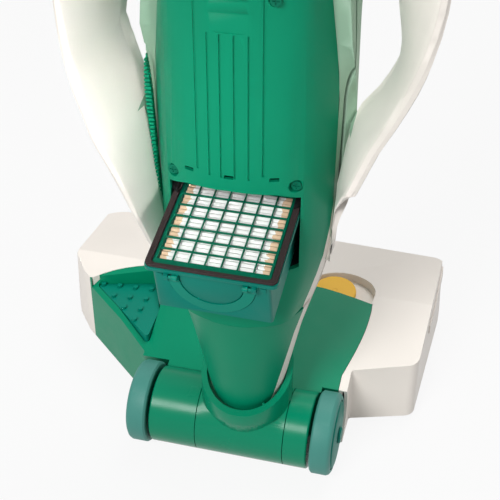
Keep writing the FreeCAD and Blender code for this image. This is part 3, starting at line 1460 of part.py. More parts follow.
def cassette_grid():
    low, high = -3.0, 1.0
    first_x = -float(cell_pitch_x) * cell_count / 2
    first_y = 8.0
    frame = rounded_box(tray_half - 0.1, 3.4, length - 3.6, low, high, 2)
    cells = []
    for row in range(cell_count):
        for column in range(cell_count):
            cells.append(Part.makeBox(
                float(cell_pitch_x) - float(cell_bar), float(cell_pitch_y) - float(cell_bar), 8,
                Vector(first_x + column * float(cell_pitch_x) + float(cell_bar) / 2,
                       first_y + row * float(cell_pitch_y) + float(cell_bar) / 2, low - 2)))
    frame = frame.cut(Part.makeCompound(cells))
    skirt = rounded_box(tray_half - 2.05, 4.6, length - 5.1, low, high, 1.4)
    inside = frame.common(Part.makeBox(200, 200, 1, Vector(-100, -50, 0)))
    return largest(frame.common(skirt).fuse(inside))


drawer_piece("cassette_grid", cassette_grid())


def filter_media():
    start, end = 5.3, length - 5.8
    count = 16
    step = (end - start) / count
    side = -tray_half + 2.8
    points = [Vector(side, start, -depth + 2.1)]
    for number in range(count):
        points.append(Vector(side, start + number * step + 0.01, -9.5))
        points.append(Vector(side, start + (number + 0.5) * step, -3.4))
    points += [Vector(side, end, -9.5), Vector(side, end, -depth + 2.1)]
    return Part.Face(Part.makePolygon(points + points[:1])).extrude(Vector(-2 * side, 0, 0))


drawer_piece("filter_media", filter_media())


def cassette_seal():
    ring_outer = rounded_box(half - 0.6, 0.6, length - 0.6, 0, 2.4, 4)
    ring_inner = rounded_box(half - 4.6, 3.3, length - 3.5, -1, 5, 3)
    return ring_outer.cut(ring_inner)


seal_shape = cassette_seal()
drawer_piece("cassette_seal", seal_shape)


def cassette_bail():
    outer = Part.makeCylinder(29, 1.3, Vector(0, 2.1, -8), AXIS_Y)
    inner = Part.makeCylinder(21.6, 3, Vector(0, 1, -8), AXIS_Y)
    bail = outer.cut(inner).common(Part.makeBox(70, 6, 40, Vector(-35, 0, -48)))
    for x in (-23.2, 23.2):
        arm = Part.makeBox(3.6, 3.3, 6, Vector(x - 1.8, 0.1, -10.2))
        eye = Part.makeCylinder(2, 3.6, Vector(x - 1.8, -0.2, -6), AXIS_X)
        stub = Part.makeCylinder(1.2, 6.5, Vector(x - (0 if x > 0 else 6.5), -0.2, -6), AXIS_X)
        bail = bail.fuse([arm, eye, stub])
    return largest(bail)


drawer_piece("cassette_bail", cassette_bail())

# Shoulder cap above the body, with the socket of the handle stem
cap_levels = [640.4, 647, 654, 661, 668, 676, 684, 692, 699, 706]


def cap_ring(level, inset=0):
    share = (level - 640.4) / 65.6
    ease = share * share * (3 - 2 * share)
    half_x = 53 - 33 * ease - inset
    back = -38 + 27 * ease + inset
    front = 66 - 37 * ease - inset
    corners = [(half_x, back, 9), (half_x, front, 12), (-half_x, front, 12), (-half_x, back, 9)]
    return stepped(rounded_wire(corners, level))


def shoulder_cap():
    outer = tower(cap_levels, cap_ring)
    inner = tower(cap_levels[:-2], cap_ring, 3)
    cap = outer.cut(inner)
    floor = outer.common(Part.makeBox(300, 300, 3, Vector(-150, -150, 640.4)))
    socket = Part.makeCylinder(float(stem_radius) + 4, 60, Vector(0, float(stem_y), 643))
    cap = cap.fuse([floor, socket.common(outer)])
    cap = cap.cut(Part.makeCylinder(float(stem_radius) + 0.02, 90, Vector(0, float(stem_y), 648)))
    cap = cap.cut(Part.makeBox(24.4, 20, 9.4, Vector(-12.2, 58.5, 639)))
    cap = cap.cut(Part.makeCylinder(6.02, 30, Vector(30, -44, 654), AXIS_Y))
    cap = cap.cut(Part.makeBox(20, 16, 3, Vector(-10, 50, 641.6)))
    return largest(cap)


stem_foot = 648
keep(shaped("shoulder_cap", shoulder_cap()), "shoulder_cap")


def cord_inlet():
    inlet = Part.makeCylinder(6, 14, Vector(30, -43, 654), AXIS_Y)
    flange = Part.makeCylinder(8.5, 4, Vector(30, -43, 654), AXIS_Y)
    inlet = inlet.fuse(flange.cut(shoulder_solid))
    return largest(inlet.cut(Part.makeCylinder(float(inlet_bore), 30, Vector(30, -50, 654), AXIS_Y)))


inlet_bore = size("inlet_bore", 3.6)
shoulder_solid = tower(cap_levels, cap_ring)
keep(shaped("cord_inlet", cord_inlet()), "cord_inlet")

# Cover latch: a slide in the cap whose lip holds the cover's roof
latch = Part.makeBox(24, 8, 5, Vector(-12, 58.6, 640.5)).fuse(
    Part.makeBox(23.8, 3.4, 7.1, Vector(-11.9, 60.3, 633.6)))
keep(shaped("cover_latch", latch.removeSplitter()), "cover_latch")

# Handle stem and the two grip shells on it
stem_length = stem_top - stem_foot
stem_outer = cylinder("stem_outer", stem_radius, stem_length)
stem_bore = cylinder("stem_bore", stem_radius - stem_wall, stem_length + 2, 0, 0, -1)
keep(cut("stem_tube", stem_outer, stem_bore), "stem_tube", 0, stem_y, stem_foot)
grip_radius = size("grip_radius", 17)
handle_path = [Vector(0, 8, 972), Vector(0, 8, 1030), Vector(0, 0, 1066), Vector(0, -22, 1094),
               Vector(0, -58, 1110.5)]


def handle_sweep(radius):
    curve = Part.BSplineCurve()
    curve.interpolate(handle_path)
    line = curve.toShape()
    rings = []
    for number in range(17):
        where = line.FirstParameter + (line.LastParameter - line.FirstParameter) * number / 16
        centre = line.valueAt(where)
        side = line.tangentAt(where).cross(AXIS_X)
        points = []
        for step in range(24):
            angle = math.radians(15 * step)
            points.append(centre + AXIS_X * (radius * math.cos(angle)) + side * (radius * 0.94 * math.sin(angle)))
        rings.append(Part.makePolygon(points + points[:1]))
    return Part.makeLoft(rings, True, True)


def handle_half(side):
    solid = handle_sweep(float(grip_radius)).cut(handle_sweep(float(grip_radius) - 3.2))
    flange = handle_sweep(float(grip_radius)).common(Part.makeBox(60, 60, 40, Vector(-30, -30, 972)))
    end_cap = handle_sweep(float(grip_radius)).common(Part.makeBox(60, 6, 60, Vector(-30, -60, 1080)))
    solid = solid.fuse([flange, end_cap])
    solid = solid.cut(Part.makeCylinder(float(stem_radius) + 0.02, 90, Vector(0, float(stem_y), 940)))
    solid = solid.cut(Part.makeBox(10.4, 16, 26, Vector(-5.2, 14, 1024)))
    keep_side = Part.makeBox(60, 160, 260, Vector(0.05 if side > 0 else -60.05, -120, 940))
    return largest(solid.common(keep_side))


keep(shaped("handle_right", handle_half(1)), "handle_right")
keep(shaped("handle_left", handle_half(-1)), "handle_left")
switch = Part.makeBox(10, 8, 14, Vector(-5, 18.6, 1030)).cut(Part.makeBox(12, 2, 3, Vector(-6, 25.2, 1035.5)))
keep(shaped("power_switch", switch), "power_switch")

# Two hooks for the cord: a swivelling one on a clamp round the stem
hook_level = size("hook_level", 930)
clamp = Part.makeCylinder(float(stem_radius) + 3.5, 22, Vector(0, 0, -11))
clamp = clamp.fuse(Part.makeBox(16, 11, 22, Vector(-8, -23.5, -11)))
clamp = clamp.cut(Part.makeCylinder(float(stem_radius) + 0.01, 40, Vector(0, 0, -20)))
clamp = clamp.cut(Part.makeCylinder(3.05, 9, Vector(0, -25, 0), AXIS_Y))
keep(shaped("hook_base", clamp.removeSplitter()), "hook_base", 0, stem_y, hook_level)
hook = Part.makeCylinder(3, 7.4, Vector(0, -24.4, 0), AXIS_Y).fuse([
    Part.makeCylinder(8, 4, Vector(0, -27.8, 0), AXIS_Y),
    Part.makeBox(12, 4, 34, Vector(-6, -27.8, 0)),
    Part.makeBox(12, 26, 4, Vector(-6, -49.8, 30)),
    Part.makeBox(12, 4, 10, Vector(-6, -49.8, 30)),
])
keep(shaped("hook_upper", hook.removeSplitter()), "hook_upper", 0, stem_y, hook_level)
lower_hook = Part.makeBox(12, 30, 4, Vector(-6, -62, 650)).fuse([
    Part.makeBox(12, 4, 26, Vector(-6, -66, 628)),
    Part.makeBox(20, 3, 14, Vector(-10, -38.5, 645)),
]).cut(shoulder_solid)
keep(shaped("hook_lower", largest(lower_hook)), "hook_lower")


def checked():
    doc.recompute()
    for obj in doc.Objects:
        if "Invalid" in obj.State or "Error" in obj.State:
            raise SystemExit("%s did not build" % obj.Name)
    for label, obj in pieces.items():
        shape = obj.Shape
        if shape.isNull() or not shape.isValid() or not shape.Solids:
            raise SystemExit("%s has no valid solid" % label)
        box = shape.BoundBox
        print("%-18s solids %2d  volume %8.1f cm3  x %.1f %.1f  y %.1f %.1f  z %.1f %.1f" % (
            label, len(shape.Solids), shape.Volume / 1000, box.XMin, box.XMax, box.YMin, box.YMax,
            box.ZMin, box.ZMax))


def write():
    os.makedirs("parts", exist_ok=True)
    for label, obj in pieces.items():
        obj.Shape.exportStep("parts/%s.step" % label)


checked()
write()
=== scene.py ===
# %% [markdown]
# # Upright vacuum cleaner, seen from behind
# The frame holds every rigid part of the cleaner at its real place and size.
# This lesson dresses that frame: it rounds the edges that a moulding tool
# leaves round, smooths the long curved shells, and gives each plastic, rubber,
# steel and fleece its own finish.

# %% The frame and its size
import json
import math

import bmesh
import bpy
from mathutils import Matrix, Vector


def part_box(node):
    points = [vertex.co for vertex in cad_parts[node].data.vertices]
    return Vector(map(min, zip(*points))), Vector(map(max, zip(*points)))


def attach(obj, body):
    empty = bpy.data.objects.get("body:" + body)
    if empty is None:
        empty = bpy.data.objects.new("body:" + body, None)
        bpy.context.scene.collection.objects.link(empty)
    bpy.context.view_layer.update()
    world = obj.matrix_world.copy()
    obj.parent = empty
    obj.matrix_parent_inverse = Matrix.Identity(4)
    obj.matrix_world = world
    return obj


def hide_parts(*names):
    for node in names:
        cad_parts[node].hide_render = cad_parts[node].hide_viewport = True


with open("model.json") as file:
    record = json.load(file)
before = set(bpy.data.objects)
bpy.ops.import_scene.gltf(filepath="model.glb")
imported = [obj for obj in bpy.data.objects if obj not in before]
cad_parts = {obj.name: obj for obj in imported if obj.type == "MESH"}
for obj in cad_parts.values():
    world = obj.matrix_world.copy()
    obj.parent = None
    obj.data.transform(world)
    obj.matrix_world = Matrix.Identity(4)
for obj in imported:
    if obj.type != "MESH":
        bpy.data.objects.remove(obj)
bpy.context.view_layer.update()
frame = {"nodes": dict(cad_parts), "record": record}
nodes = frame["nodes"]
scene = bpy.context.scene
scene.view_settings.view_transform = "Standard"

# %% [markdown]
# ## Where things are
# The shells were drawn from a working origin: the floor under the middle of
# the barrel joint. The frame's own origin is at the middle of the outline, so
# the pin of the cover, which lies across the middle of the body, tells where
# the working origin went. All later places are given from it.

# %% The working origin
MM = 0.001
PIN_Y = 0.076
pin_low, pin_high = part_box("cover_pin")
ORIGIN = Vector(((pin_low.x + pin_high.x) / 2, (pin_low.y + pin_high.y) / 2 - PIN_Y, 0))
print("working origin", [round(value, 4) for value in ORIGIN])


def place(x, y, z):
    """A point given in millimetres from the working origin."""
    return ORIGIN + Vector((x, y, z)) * MM


# %% [markdown]
# ## Colours
# The finishes are written as the paint chips they would be matched to, in
# display values from 0 to 255. The shaders work in linear light, so each chip
# is converted once.

# %% Paint chips
def linear(value):
    share = value / 255
    return share / 12.92 if share <= 0.04045 else ((share + 0.055) / 1.055) ** 2.4


def chip(red, green, blue):
    return (linear(red), linear(green), linear(blue), 1.0)


BODY_GREEN = chip(0, 135, 99)
DEEP_GREEN = chip(0, 104, 78)
TEAL = chip(0, 118, 103)
PEDAL_TEAL = chip(0, 128, 108)
# The tyres' teal, lightened a little as a painted sheen.
WHEEL_TEAL_WITH_SHEEN = chip(66, 138, 127)
CREAM = chip(244, 237, 229)
# Painted shade: the cream side band in shadow, greenish from the green body it reflects.
CREAM_IN_PAINTED_SHADE = chip(148, 180, 156)
DIAL_YELLOW = chip(255, 200, 84)
SEAL_BROWN = chip(58, 48, 48)
GLUE_BEIGE = chip(226, 196, 164)
FLEECE_WHITE = chip(246, 246, 244)
PAPER_TAN = chip(205, 188, 158)
DARK_GREY = chip(62, 66, 66)
NEAR_BLACK = chip(26, 27, 28)
STEEL_GREY = chip(176, 178, 180)
print("chips ready")

# %% [markdown]
# ## Moulded plastic
# A moulded shell is never one flat colour: it has a fine spark-eroded grain,
# a slow drift of tone where the wall cooled unevenly, and a little dirt that
# dulls the gloss. Three noises at three scales do that. They read Object
# coordinates, so the pattern sits still on every piece and in every pose.

# %% A moulded plastic
SLOW_SCALE = 14
DIRT_SCALE = 60
DIRT_DETAIL = 4
DIRT_DULLS = 0.08


def shader_of(material):
    material.use_nodes = True
    return material.node_tree.nodes["Principled BSDF"]


def noise(tree, scale, detail=2.0, stretch=(1, 1, 1)):
    coordinates = tree.nodes.new("ShaderNodeTexCoord")
    mapping = tree.nodes.new("ShaderNodeMapping")
    mapping.inputs["Scale"].default_value = stretch
    texture = tree.nodes.new("ShaderNodeTexNoise")
    texture.inputs["Scale"].default_value = scale
    texture.inputs["Detail"].default_value = detail
    tree.links.new(coordinates.outputs["Object"], mapping.inputs["Vector"])
    tree.links.new(mapping.outputs["Vector"], texture.inputs["Vector"])
    return texture.outputs["Fac"]


def tone(colour, share):
    return tuple(min(1.0, channel * share) for channel in colour[:3]) + (1.0,)


def blended(tree, factor, first, second):
    ramp = tree.nodes.new("ShaderNodeValToRGB")
    ramp.color_ramp.elements[0].position = 0.3
    ramp.color_ramp.elements[1].position = 0.7
    ramp.color_ramp.elements[0].color = first
    ramp.color_ramp.elements[1].color = second
    tree.links.new(factor, ramp.inputs["Fac"])
    return ramp.outputs["Color"]


def ranged(tree, factor, low, high):
    remap = tree.nodes.new("ShaderNodeMapRange")
    remap.inputs["To Min"].default_value = low
    remap.inputs["To Max"].default_value = high
    tree.links.new(factor, remap.inputs["Value"])
    return remap.outputs["Result"]


def drifting(tree, colour, drift, scale=SLOW_SCALE):
    """The colour with a slow drift of tone to either side."""
    return blended(tree, noise(tree, scale), tone(colour, 1 - drift), tone(colour, 1 + drift))


def dulled(tree, shader, gloss, below):
    """Roughness around the gloss value, raised where dirt lies."""
    dirt = noise(tree, DIRT_SCALE, DIRT_DETAIL)
    roughness = ranged(tree, dirt, gloss - below, gloss + DIRT_DULLS)
    tree.links.new(roughness, shader.inputs["Roughness"])


def bumped(tree, shader, height, depth):
    bump = tree.nodes.new("ShaderNodeBump")
    bump.inputs["Strength"].default_value = 1.0
    bump.inputs["Distance"].default_value = depth
    tree.links.new(height, bump.inputs["Height"])
    tree.links.new(bump.outputs["Normal"], shader.inputs["Normal"])


def plastic(name, colour, gloss=0.38, drift=0.05, grain=0.00005, grain_scale=1400, shine=0.14):
    material = bpy.data.materials.new(name)
    shader = shader_of(material)
    shader.inputs["Specular IOR Level"].default_value = shine
    tree = material.node_tree
    tree.links.new(drifting(tree, colour, drift), shader.inputs["Base Color"])
    dulled(tree, shader, gloss, below=0.06)
    bumped(tree, shader, noise(tree, grain_scale), grain)
    return material


green = plastic("body green", BODY_GREEN, gloss=0.36)
deep_green = plastic("deep green", DEEP_GREEN, gloss=0.42)
glossy_green = plastic("barrel green", BODY_GREEN, gloss=0.24, drift=0.03, grain=0.00002,
                       shine=0.2)
teal = plastic("teal", TEAL, gloss=0.46)
pedal_teal = plastic("pedal teal", PEDAL_TEAL, gloss=0.4, drift=0.04)
cream = plastic("cream", CREAM, gloss=0.4, drift=0.02, grain=0.00004, shine=0.2)
yellow = plastic("dial yellow", DIAL_YELLOW, gloss=0.45, drift=0.03)
dark_plastic = plastic("dark plastic", NEAR_BLACK, gloss=0.5)
grey_plastic = plastic("grey plastic", DARK_GREY, gloss=0.5)
seal_rubber = plastic("seal rubber", SEAL_BROWN, gloss=0.75, drift=0.1, grain=0.0001,
                      grain_scale=700)
# The tyre colour includes a painted sheen.
tyre_rubber = plastic("tyre rubber", WHEEL_TEAL_WITH_SHEEN, gloss=0.5, drift=0.06, grain=0.00008,
                      grain_scale=900, shine=0.4)
print("plastics made", len(bpy.data.materials))

# %% [markdown]
# ## Two-tone mouldings and a painted shade
# The filter's fleece is white with ragged beige glue down each side. The side
# frame's band is cream in a greenish painted shade, for cream in shadow that
# reflects the green body, and it turns into the lit cream grip at a leaning
# crease; the cream front half shows as a rim round the green back of the neck.
# Each is one material with a mask worked out from the Object coordinates,
# because the colour, the painted shade included, changes within one moulding.

# %% Masks and two-tone finishes
GLUE_START = 0.0355
GLUE_WANDER = 0.008
RIM_DEPTH = -0.015
RIM_TOP = 0.252
RIM_FADE = 0.175
RIM_LEAN = 0.16
CREASE_SLOPE = 0.128
CREASE_START = 0.0318
CREASE_TOP = 0.31
CREASE_DEPTH = -0.0055


def math_node(tree, operation, first, second):
    """One Math node; each input is a socket or a plain number."""
    node = tree.nodes.new("ShaderNodeMath")
    node.operation = operation
    for index, value in enumerate((first, second)):
        if isinstance(value, (int, float)):
            node.inputs[index].default_value = value
        else:
            tree.links.new(value, node.inputs[index])
    return node.outputs["Value"]


def position(tree):
    """X from the middle plane, Y from the barrel joint and Z, in metres."""
    coordinates = tree.nodes.new("ShaderNodeTexCoord")
    apart = tree.nodes.new("ShaderNodeSeparateXYZ")
    tree.links.new(coordinates.outputs["Object"], apart.inputs["Vector"])
    from_middle = math_node(tree, "SUBTRACT", apart.outputs["X"], ORIGIN.x)
    depth = math_node(tree, "SUBTRACT", apart.outputs["Y"], ORIGIN.y)
    return math_node(tree, "ABSOLUTE", from_middle, 0.0), depth, apart.outputs["Z"]


def glue_lines(tree):
    """Glue covers the fleece beyond a wandering distance from the middle."""
    side = position(tree)[0]
    wander = math_node(tree, "MULTIPLY", noise(tree, 260, 3), GLUE_WANDER)
    return math_node(tree, "GREATER_THAN", math_node(tree, "ADD", side, wander), GLUE_START)


def cream_rim(tree):
    """The cream front half shows as a rim round the green back of the neck."""
    depth, height = position(tree)[1:]
    rise = math_node(tree, "MAXIMUM", math_node(tree, "SUBTRACT", height, RIM_FADE), 0.0)
    leaning = math_node(tree, "SUBTRACT", depth, math_node(tree, "MULTIPLY", rise, RIM_LEAN))
    forward = math_node(tree, "GREATER_THAN", leaning, RIM_DEPTH)
    return math_node(tree, "MULTIPLY", forward, math_node(tree, "LESS_THAN", height, RIM_TOP))


def outside_band(tree):
    """The crease between the band in painted shade and the lit cream grip leans outwards as it
    rises.
    """
    side, depth, height = position(tree)
    held = math_node(tree, "MINIMUM", height, CREASE_TOP)
    leaning = math_node(tree, "SUBTRACT", side, math_node(tree, "MULTIPLY", held, CREASE_SLOPE))
    outside = math_node(tree, "GREATER_THAN", leaning, CREASE_START)
    behind = math_node(tree, "LESS_THAN", depth, CREASE_DEPTH)
    low = math_node(tree, "LESS_THAN", height, CREASE_TOP)
    return math_node(tree, "MAXIMUM", outside, math_node(tree, "MULTIPLY", behind, low))


def two_colours_by_mask(name, first, second, masking, gloss=0.45, grain=0.00005, grain_scale=1400,
             shine=0.14):
    material = bpy.data.materials.new(name)
    shader = shader_of(material)
    shader.inputs["Specular IOR Level"].default_value = shine
    tree = material.node_tree
    mix = tree.nodes.new("ShaderNodeMix")
    mix.data_type = "RGBA"
    tree.links.new(masking(tree), mix.inputs[0])
    tree.links.new(drifting(tree, first, 0.03), mix.inputs[6])
    tree.links.new(drifting(tree, second, 0.04, scale=18), mix.inputs[7])
    tree.links.new(mix.outputs[2], shader.inputs["Base Color"])
    dulled(tree, shader, gloss, below=0.05)
    bumped(tree, shader, noise(tree, grain_scale), grain)
    return material


fleece = two_colours_by_mask("filter fleece", FLEECE_WHITE, GLUE_BEIGE, glue_lines, gloss=0.85,
                  grain=0.0002, grain_scale=500)
# The side frame's band is painted shade on cream, and the grip is the lit cream.
side_frame = two_colours_by_mask("painted shade band and cream grip", CREAM_IN_PAINTED_SHADE, CREAM, outside_band, gloss=0.42,
                      shine=0.2)
rimmed_green = two_colours_by_mask("green with cream rim", BODY_GREEN, CREAM, cream_rim, gloss=0.36)
print("two-tone finishes made")

# %% [markdown]
# ## Steel, paper and bristles
# The stem is drawn steel tube: its polishing lines run along it, so the noise
# is stretched along Z. The bag is soft filter paper with a slow crumple.

# %% Steel and paper
def steel(name, stretch=(1, 1, 0.02)):
    material = bpy.data.materials.new(name)
    shader = shader_of(material)
    tree = material.node_tree
    shader.inputs["Metallic"].default_value = 1.0
    lines = noise(tree, 900, 3, stretch)
    colour = blended(tree, lines, tone(STEEL_GREY, 0.85), tone(STEEL_GREY, 1.1))
    tree.links.new(colour, shader.inputs["Base Color"])
    tree.links.new(ranged(tree, lines, 0.22, 0.4), shader.inputs["Roughness"])
    bumped(tree, shader, lines, 0.00002)
    return material


stem_steel = steel("stem steel")
turned_steel = steel("turned steel", stretch=(0.05, 1, 1))
paper = plastic("filter paper", PAPER_TAN, gloss=0.9, drift=0.06, grain=0.0006, grain_scale=90)
bristle_nylon = plastic("bristle nylon", NEAR_BLACK, gloss=0.6, drift=0.1, grain=0.0003,
                        grain_scale=2500)
print("metals and paper made")

# %% [markdown]
# ## Rounding what the mould rounds
# A node of the frame is loose triangles with hard edges. Each one is copied
# and merged, its flat triangles are joined back into whole faces, and a narrow
# bevel rounds the edges sharper than a set angle. The soft facets of the long
# curved shells stay below that angle and are shaded smooth.

# %% The dressing helpers
MERGE = 0.00002
FLAT = math.radians(0.6)
behaviour = frame["record"]["behaviour"]
body_of = {node: body for body, members in behaviour["bodies"].items() for node in members}
dressed = {}


def merged_copy(node, name, whole_faces):
    mesh = nodes[node].data.copy()
    mesh.name = name
    shape = bmesh.new()
    shape.from_mesh(mesh)
    bmesh.ops.remove_doubles(shape, verts=shape.verts, dist=MERGE)
    bmesh.ops.dissolve_degenerate(shape, edges=shape.edges, dist=MERGE)
    if whole_faces:
        bmesh.ops.dissolve_limit(shape, angle_limit=FLAT, verts=shape.verts, edges=shape.edges,
                                 delimit={"NORMAL"})
    shape.to_mesh(mesh)
    shape.free()
    mesh.materials.clear()
    return mesh


def finished(name, mesh, material, smooth_deg):
    """An object in one material, smooth except at edges over the angle."""
    mesh.materials.append(material)
    mesh.shade_smooth()
    mesh.set_sharp_from_angle(angle=math.radians(smooth_deg))
    piece = bpy.data.objects.new(name, mesh)
    scene.collection.objects.link(piece)
    return piece


def edge_rounding(piece, round_mm, smooth_deg, segments):
    bevel = piece.modifiers.new("edge rounding", "BEVEL")
    bevel.width = round_mm * MM
    bevel.segments = segments
    bevel.limit_method = "ANGLE"
    bevel.angle_limit = math.radians(smooth_deg)
    bevel.harden_normals = True
    return bevel


def stand_for(piece, node):
    """The piece rides on the node's body and is shown in its place."""
    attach(piece, body_of[node])
    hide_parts(node)
    dressed[node] = piece


def dress(node, material, round_mm=0.5, smooth_deg=32, segments=2, whole_faces=True):
    """A rounded, smooth copy of one node, in its own finish."""
    name = node + "_skin"
    piece = finished(name, merged_copy(node, name, whole_faces), material, smooth_deg)
    if round_mm:
        edge_rounding(piece, round_mm, smooth_deg, segments).miter_outer = "MITER_ARC"
    stand_for(piece, node)
    return piece


def new_piece(name, shape, material, node, round_mm=0.0, smooth_deg=32):
    """A finished piece from a bmesh, in the place of one node."""
    mesh = bpy.data.meshes.new(name)
    shape.to_mesh(mesh)
    shape.free()
    piece = finished(name, mesh, material, smooth_deg)
    if round_mm:
        edge_rounding(piece, round_mm, smooth_deg, segments=2)
    stand_for(piece, node)
    return piece


print("helpers ready for", len(body_of), "nodes")

# %% [markdown]
# ## The floor head
# The cover is a cream moulding whose low front facets look beige because they
# face away from the light. The rear housing is green, and the pedal and the
# wheels are a bluer green than the rest. The tyres' teal is lightened a little
# as a painted sheen.

# %% Head
for node, finish, rounding in (
        ("nozzle_cover", cream, 0.9), ("rear_housing", green, 0.7), ("sole_plate", dark_plastic, 0),
        ("bumper_strip", cream, 0.3), ("suction_duct", dark_plastic, 0),
        ("barrel_left", glossy_green, 0.3), ("barrel_right", glossy_green, 0.3),
        ("tilt_collar", glossy_green, 0.7), ("height_dial", yellow, 0.3),
        ("release_pedal", pedal_teal, 0.5)):
    dress(node, finish, rounding)
for end in ("left", "right"):
    dress("hub_" + end, teal, 0.4)
    dress("tyre_" + end, tyre_rubber, 0.4)
    dress("axle_" + end, teal, 0.2)
    dress("roller_" + end, dark_plastic, 0.3)
print("head pieces", len(dressed))

# %% [markdown]
# ## Inside the head
# Brush, belt, bearings and motor are turned or wound parts. They need no
# rounding, only their own finishes.

# %% Brush and drive
for node, finish in (
        ("brush_core", dark_plastic), ("bristle_rows", bristle_nylon),
        ("brush_bearings", turned_steel), ("brush_pulley", grey_plastic),
        ("motor_pulley", turned_steel), ("drive_belt", seal_rubber),
        ("brush_motor", turned_steel), ("roller_pins", turned_steel),
        ("dial_pin", yellow), ("pedal_pin", turned_steel)):
    dress(node, finish, 0)
print("head and drive pieces", len(dressed))

# %% [markdown]
# ## The body
# The casing is the fluted green back. The nose and the lower shell make the
# cone that plugs into the collar, green behind and cream in front.

# %% Shells of the body
for node, finish, rounding in (
        ("nose_rear", rimmed_green, 0.7), ("rear_casing", rimmed_green, 0.35),
        ("casing_screws", deep_green, 0), ("lower_shell", cream, 0.4),
        ("filter_bay", dark_plastic, 0), ("chassis", grey_plastic, 0), ("bag_cover", green, 0.6),
        ("cover_latch", teal, 0.3), ("shoulder_cap", green, 0.6)):
    dress(node, finish, rounding)
print("with the body's shells", len(dressed))

# %% [markdown]
# ## The side frames
# Each frame is one cream moulding: a band that closes the gap between casing
# and cover, in a greenish painted shade for cream in shadow that reflects the
# green body, and a broad cream grip that flares away from it. The right grip
# ends higher than the left one, in a rounded tip beside the drawer, so its
# foot is drawn in towards the band, point by point, below that tip. The ribbed strip of the
# right grip is hidden and nothing is drawn for it: the frame is named as standing for it, but
# has none of its ribs.

# %% Side frames
TIP_LOW = 0.247
TIP_HIGH = 0.291
ROOT_DEPTH = -0.006
ROOT_SIDE = 0.0613
ROOT_LEVEL = 0.235
ROOT_LEAN = 0.1
FRAME_SMOOTH = 38


def root_side(height):
    return ROOT_SIDE + max(0.0, height - ROOT_LEVEL) * ROOT_LEAN


def draw_in(piece):
    """Below the tip the grip shrinks towards its root on the band."""
    moved = 0
    for vertex in piece.data.vertices:
        spot = vertex.co - ORIGIN
        if spot.z > TIP_HIGH or spot.y > ROOT_DEPTH:
            continue
        share = min(1.0, max(0.0, (spot.z - TIP_LOW) / (TIP_HIGH - TIP_LOW)))
        root = root_side(spot.z)
        vertex.co.x = ORIGIN.x + root + (spot.x - root) * share
        vertex.co.y = ORIGIN.y + ROOT_DEPTH + (spot.y - ROOT_DEPTH) * share
        moved += 1
    return moved


dress("frame_left", side_frame, 0.5, FRAME_SMOOTH)
right_frame = dress("frame_right", side_frame, 0.5, FRAME_SMOOTH)
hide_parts("frame_right", "grip_strip_right")
print("points drawn in", draw_in(right_frame))

# %% [markdown]
# ## The filter drawer
# Tray, grid, fleece and seal slide out as one cassette. The seal is soft foam
# rubber, and the pull is a bluer green than the casing.

# %% Drawer
dress("cassette_tray", teal, 0.5, whole_faces=False)
dress("cassette_seal", seal_rubber, 0.4)
dress("cassette_bail", pedal_teal, 0.3)
print("with the drawer", len(dressed))

# %% [markdown]
# ## The filter grid
# The grid is one thin moulding with seven rows of seven windows. A flat grid
# of faces is the quickest start: its inner faces are inset by half a bar and
# deleted, which leaves the bars, and the sheet is then given its thickness.
# It is made flat and tilted into the drawer at the end.

# %% Filter grid
TILT = math.radians(13)
DRAWER = Matrix.Translation(place(0, -95, 244.6)) @ Matrix.Rotation(TILT, 4, "X")
WINDOWS = 7
PITCH_X = 10.67
PITCH_Y = 10.0
BAR_HALF = 0.0005
GRID_HALF = 38.8
GRID_NEAR, GRID_FAR = 3.5, 84.3
WINDOW_NEAR = 8.0
GRID_TOP = 0.0008
GRID_THICK = 0.0016


def grid_line(index, pitch, start, near, far):
    """The place of one line of the sheet: the rim's edge or a bar's middle."""
    if index == 0:
        return near
    if index == WINDOWS + 2:
        return far
    return start + (index - 1) * pitch


def flat_grid():
    shape = bmesh.new()
    count = WINDOWS + 2
    bmesh.ops.create_grid(shape, x_segments=count, y_segments=count, size=count / 2)
    for vertex in shape.verts:
        column = round(vertex.co.x + count / 2)
        row = round(vertex.co.y + count / 2)
        x = grid_line(column, PITCH_X, -PITCH_X * WINDOWS / 2, -GRID_HALF, GRID_HALF)
        y = grid_line(row, PITCH_Y, WINDOW_NEAR, GRID_NEAR, GRID_FAR)
        vertex.co.x, vertex.co.y = x * MM, y * MM
    windows = [face for face in shape.faces if not any(edge.is_boundary for edge in face.edges)]
    bmesh.ops.inset_individual(shape, faces=windows, thickness=BAR_HALF, use_even_offset=True)
    bmesh.ops.delete(shape, geom=windows, context="FACES")
    bmesh.ops.solidify(shape, geom=shape.faces[:], thickness=GRID_THICK)
    bmesh.ops.recalc_face_normals(shape, faces=shape.faces)
    low = min(vertex.co.z for vertex in shape.verts)
    bmesh.ops.translate(shape, verts=shape.verts, vec=(0, 0, GRID_TOP - GRID_THICK - low))
    bmesh.ops.transform(shape, matrix=DRAWER, verts=shape.verts)
    return shape


grid = new_piece("filter_grid", flat_grid(), deep_green, "cassette_grid", 0.3)
print("grid faces", len(grid.data.polygons))

# %% [markdown]
# ## The pleated fleece
# The fleece lies folded under the grid, with two or three folds in each row
# of windows. A long narrow grid is pleated by lowering every second line of
# points, and its faces are then drawn down to make the pack solid.

# %% Pleated fleece
PLEATS = 22
FOLD_TOP = -0.0012
FOLD_DEPTH = 0.0012
FOLD_SMOOTH = 60
PACK_DEPTH = 0.030
PACK_HALF = 0.0362
PACK_NEAR, PACK_FAR = 0.0056, 0.0822


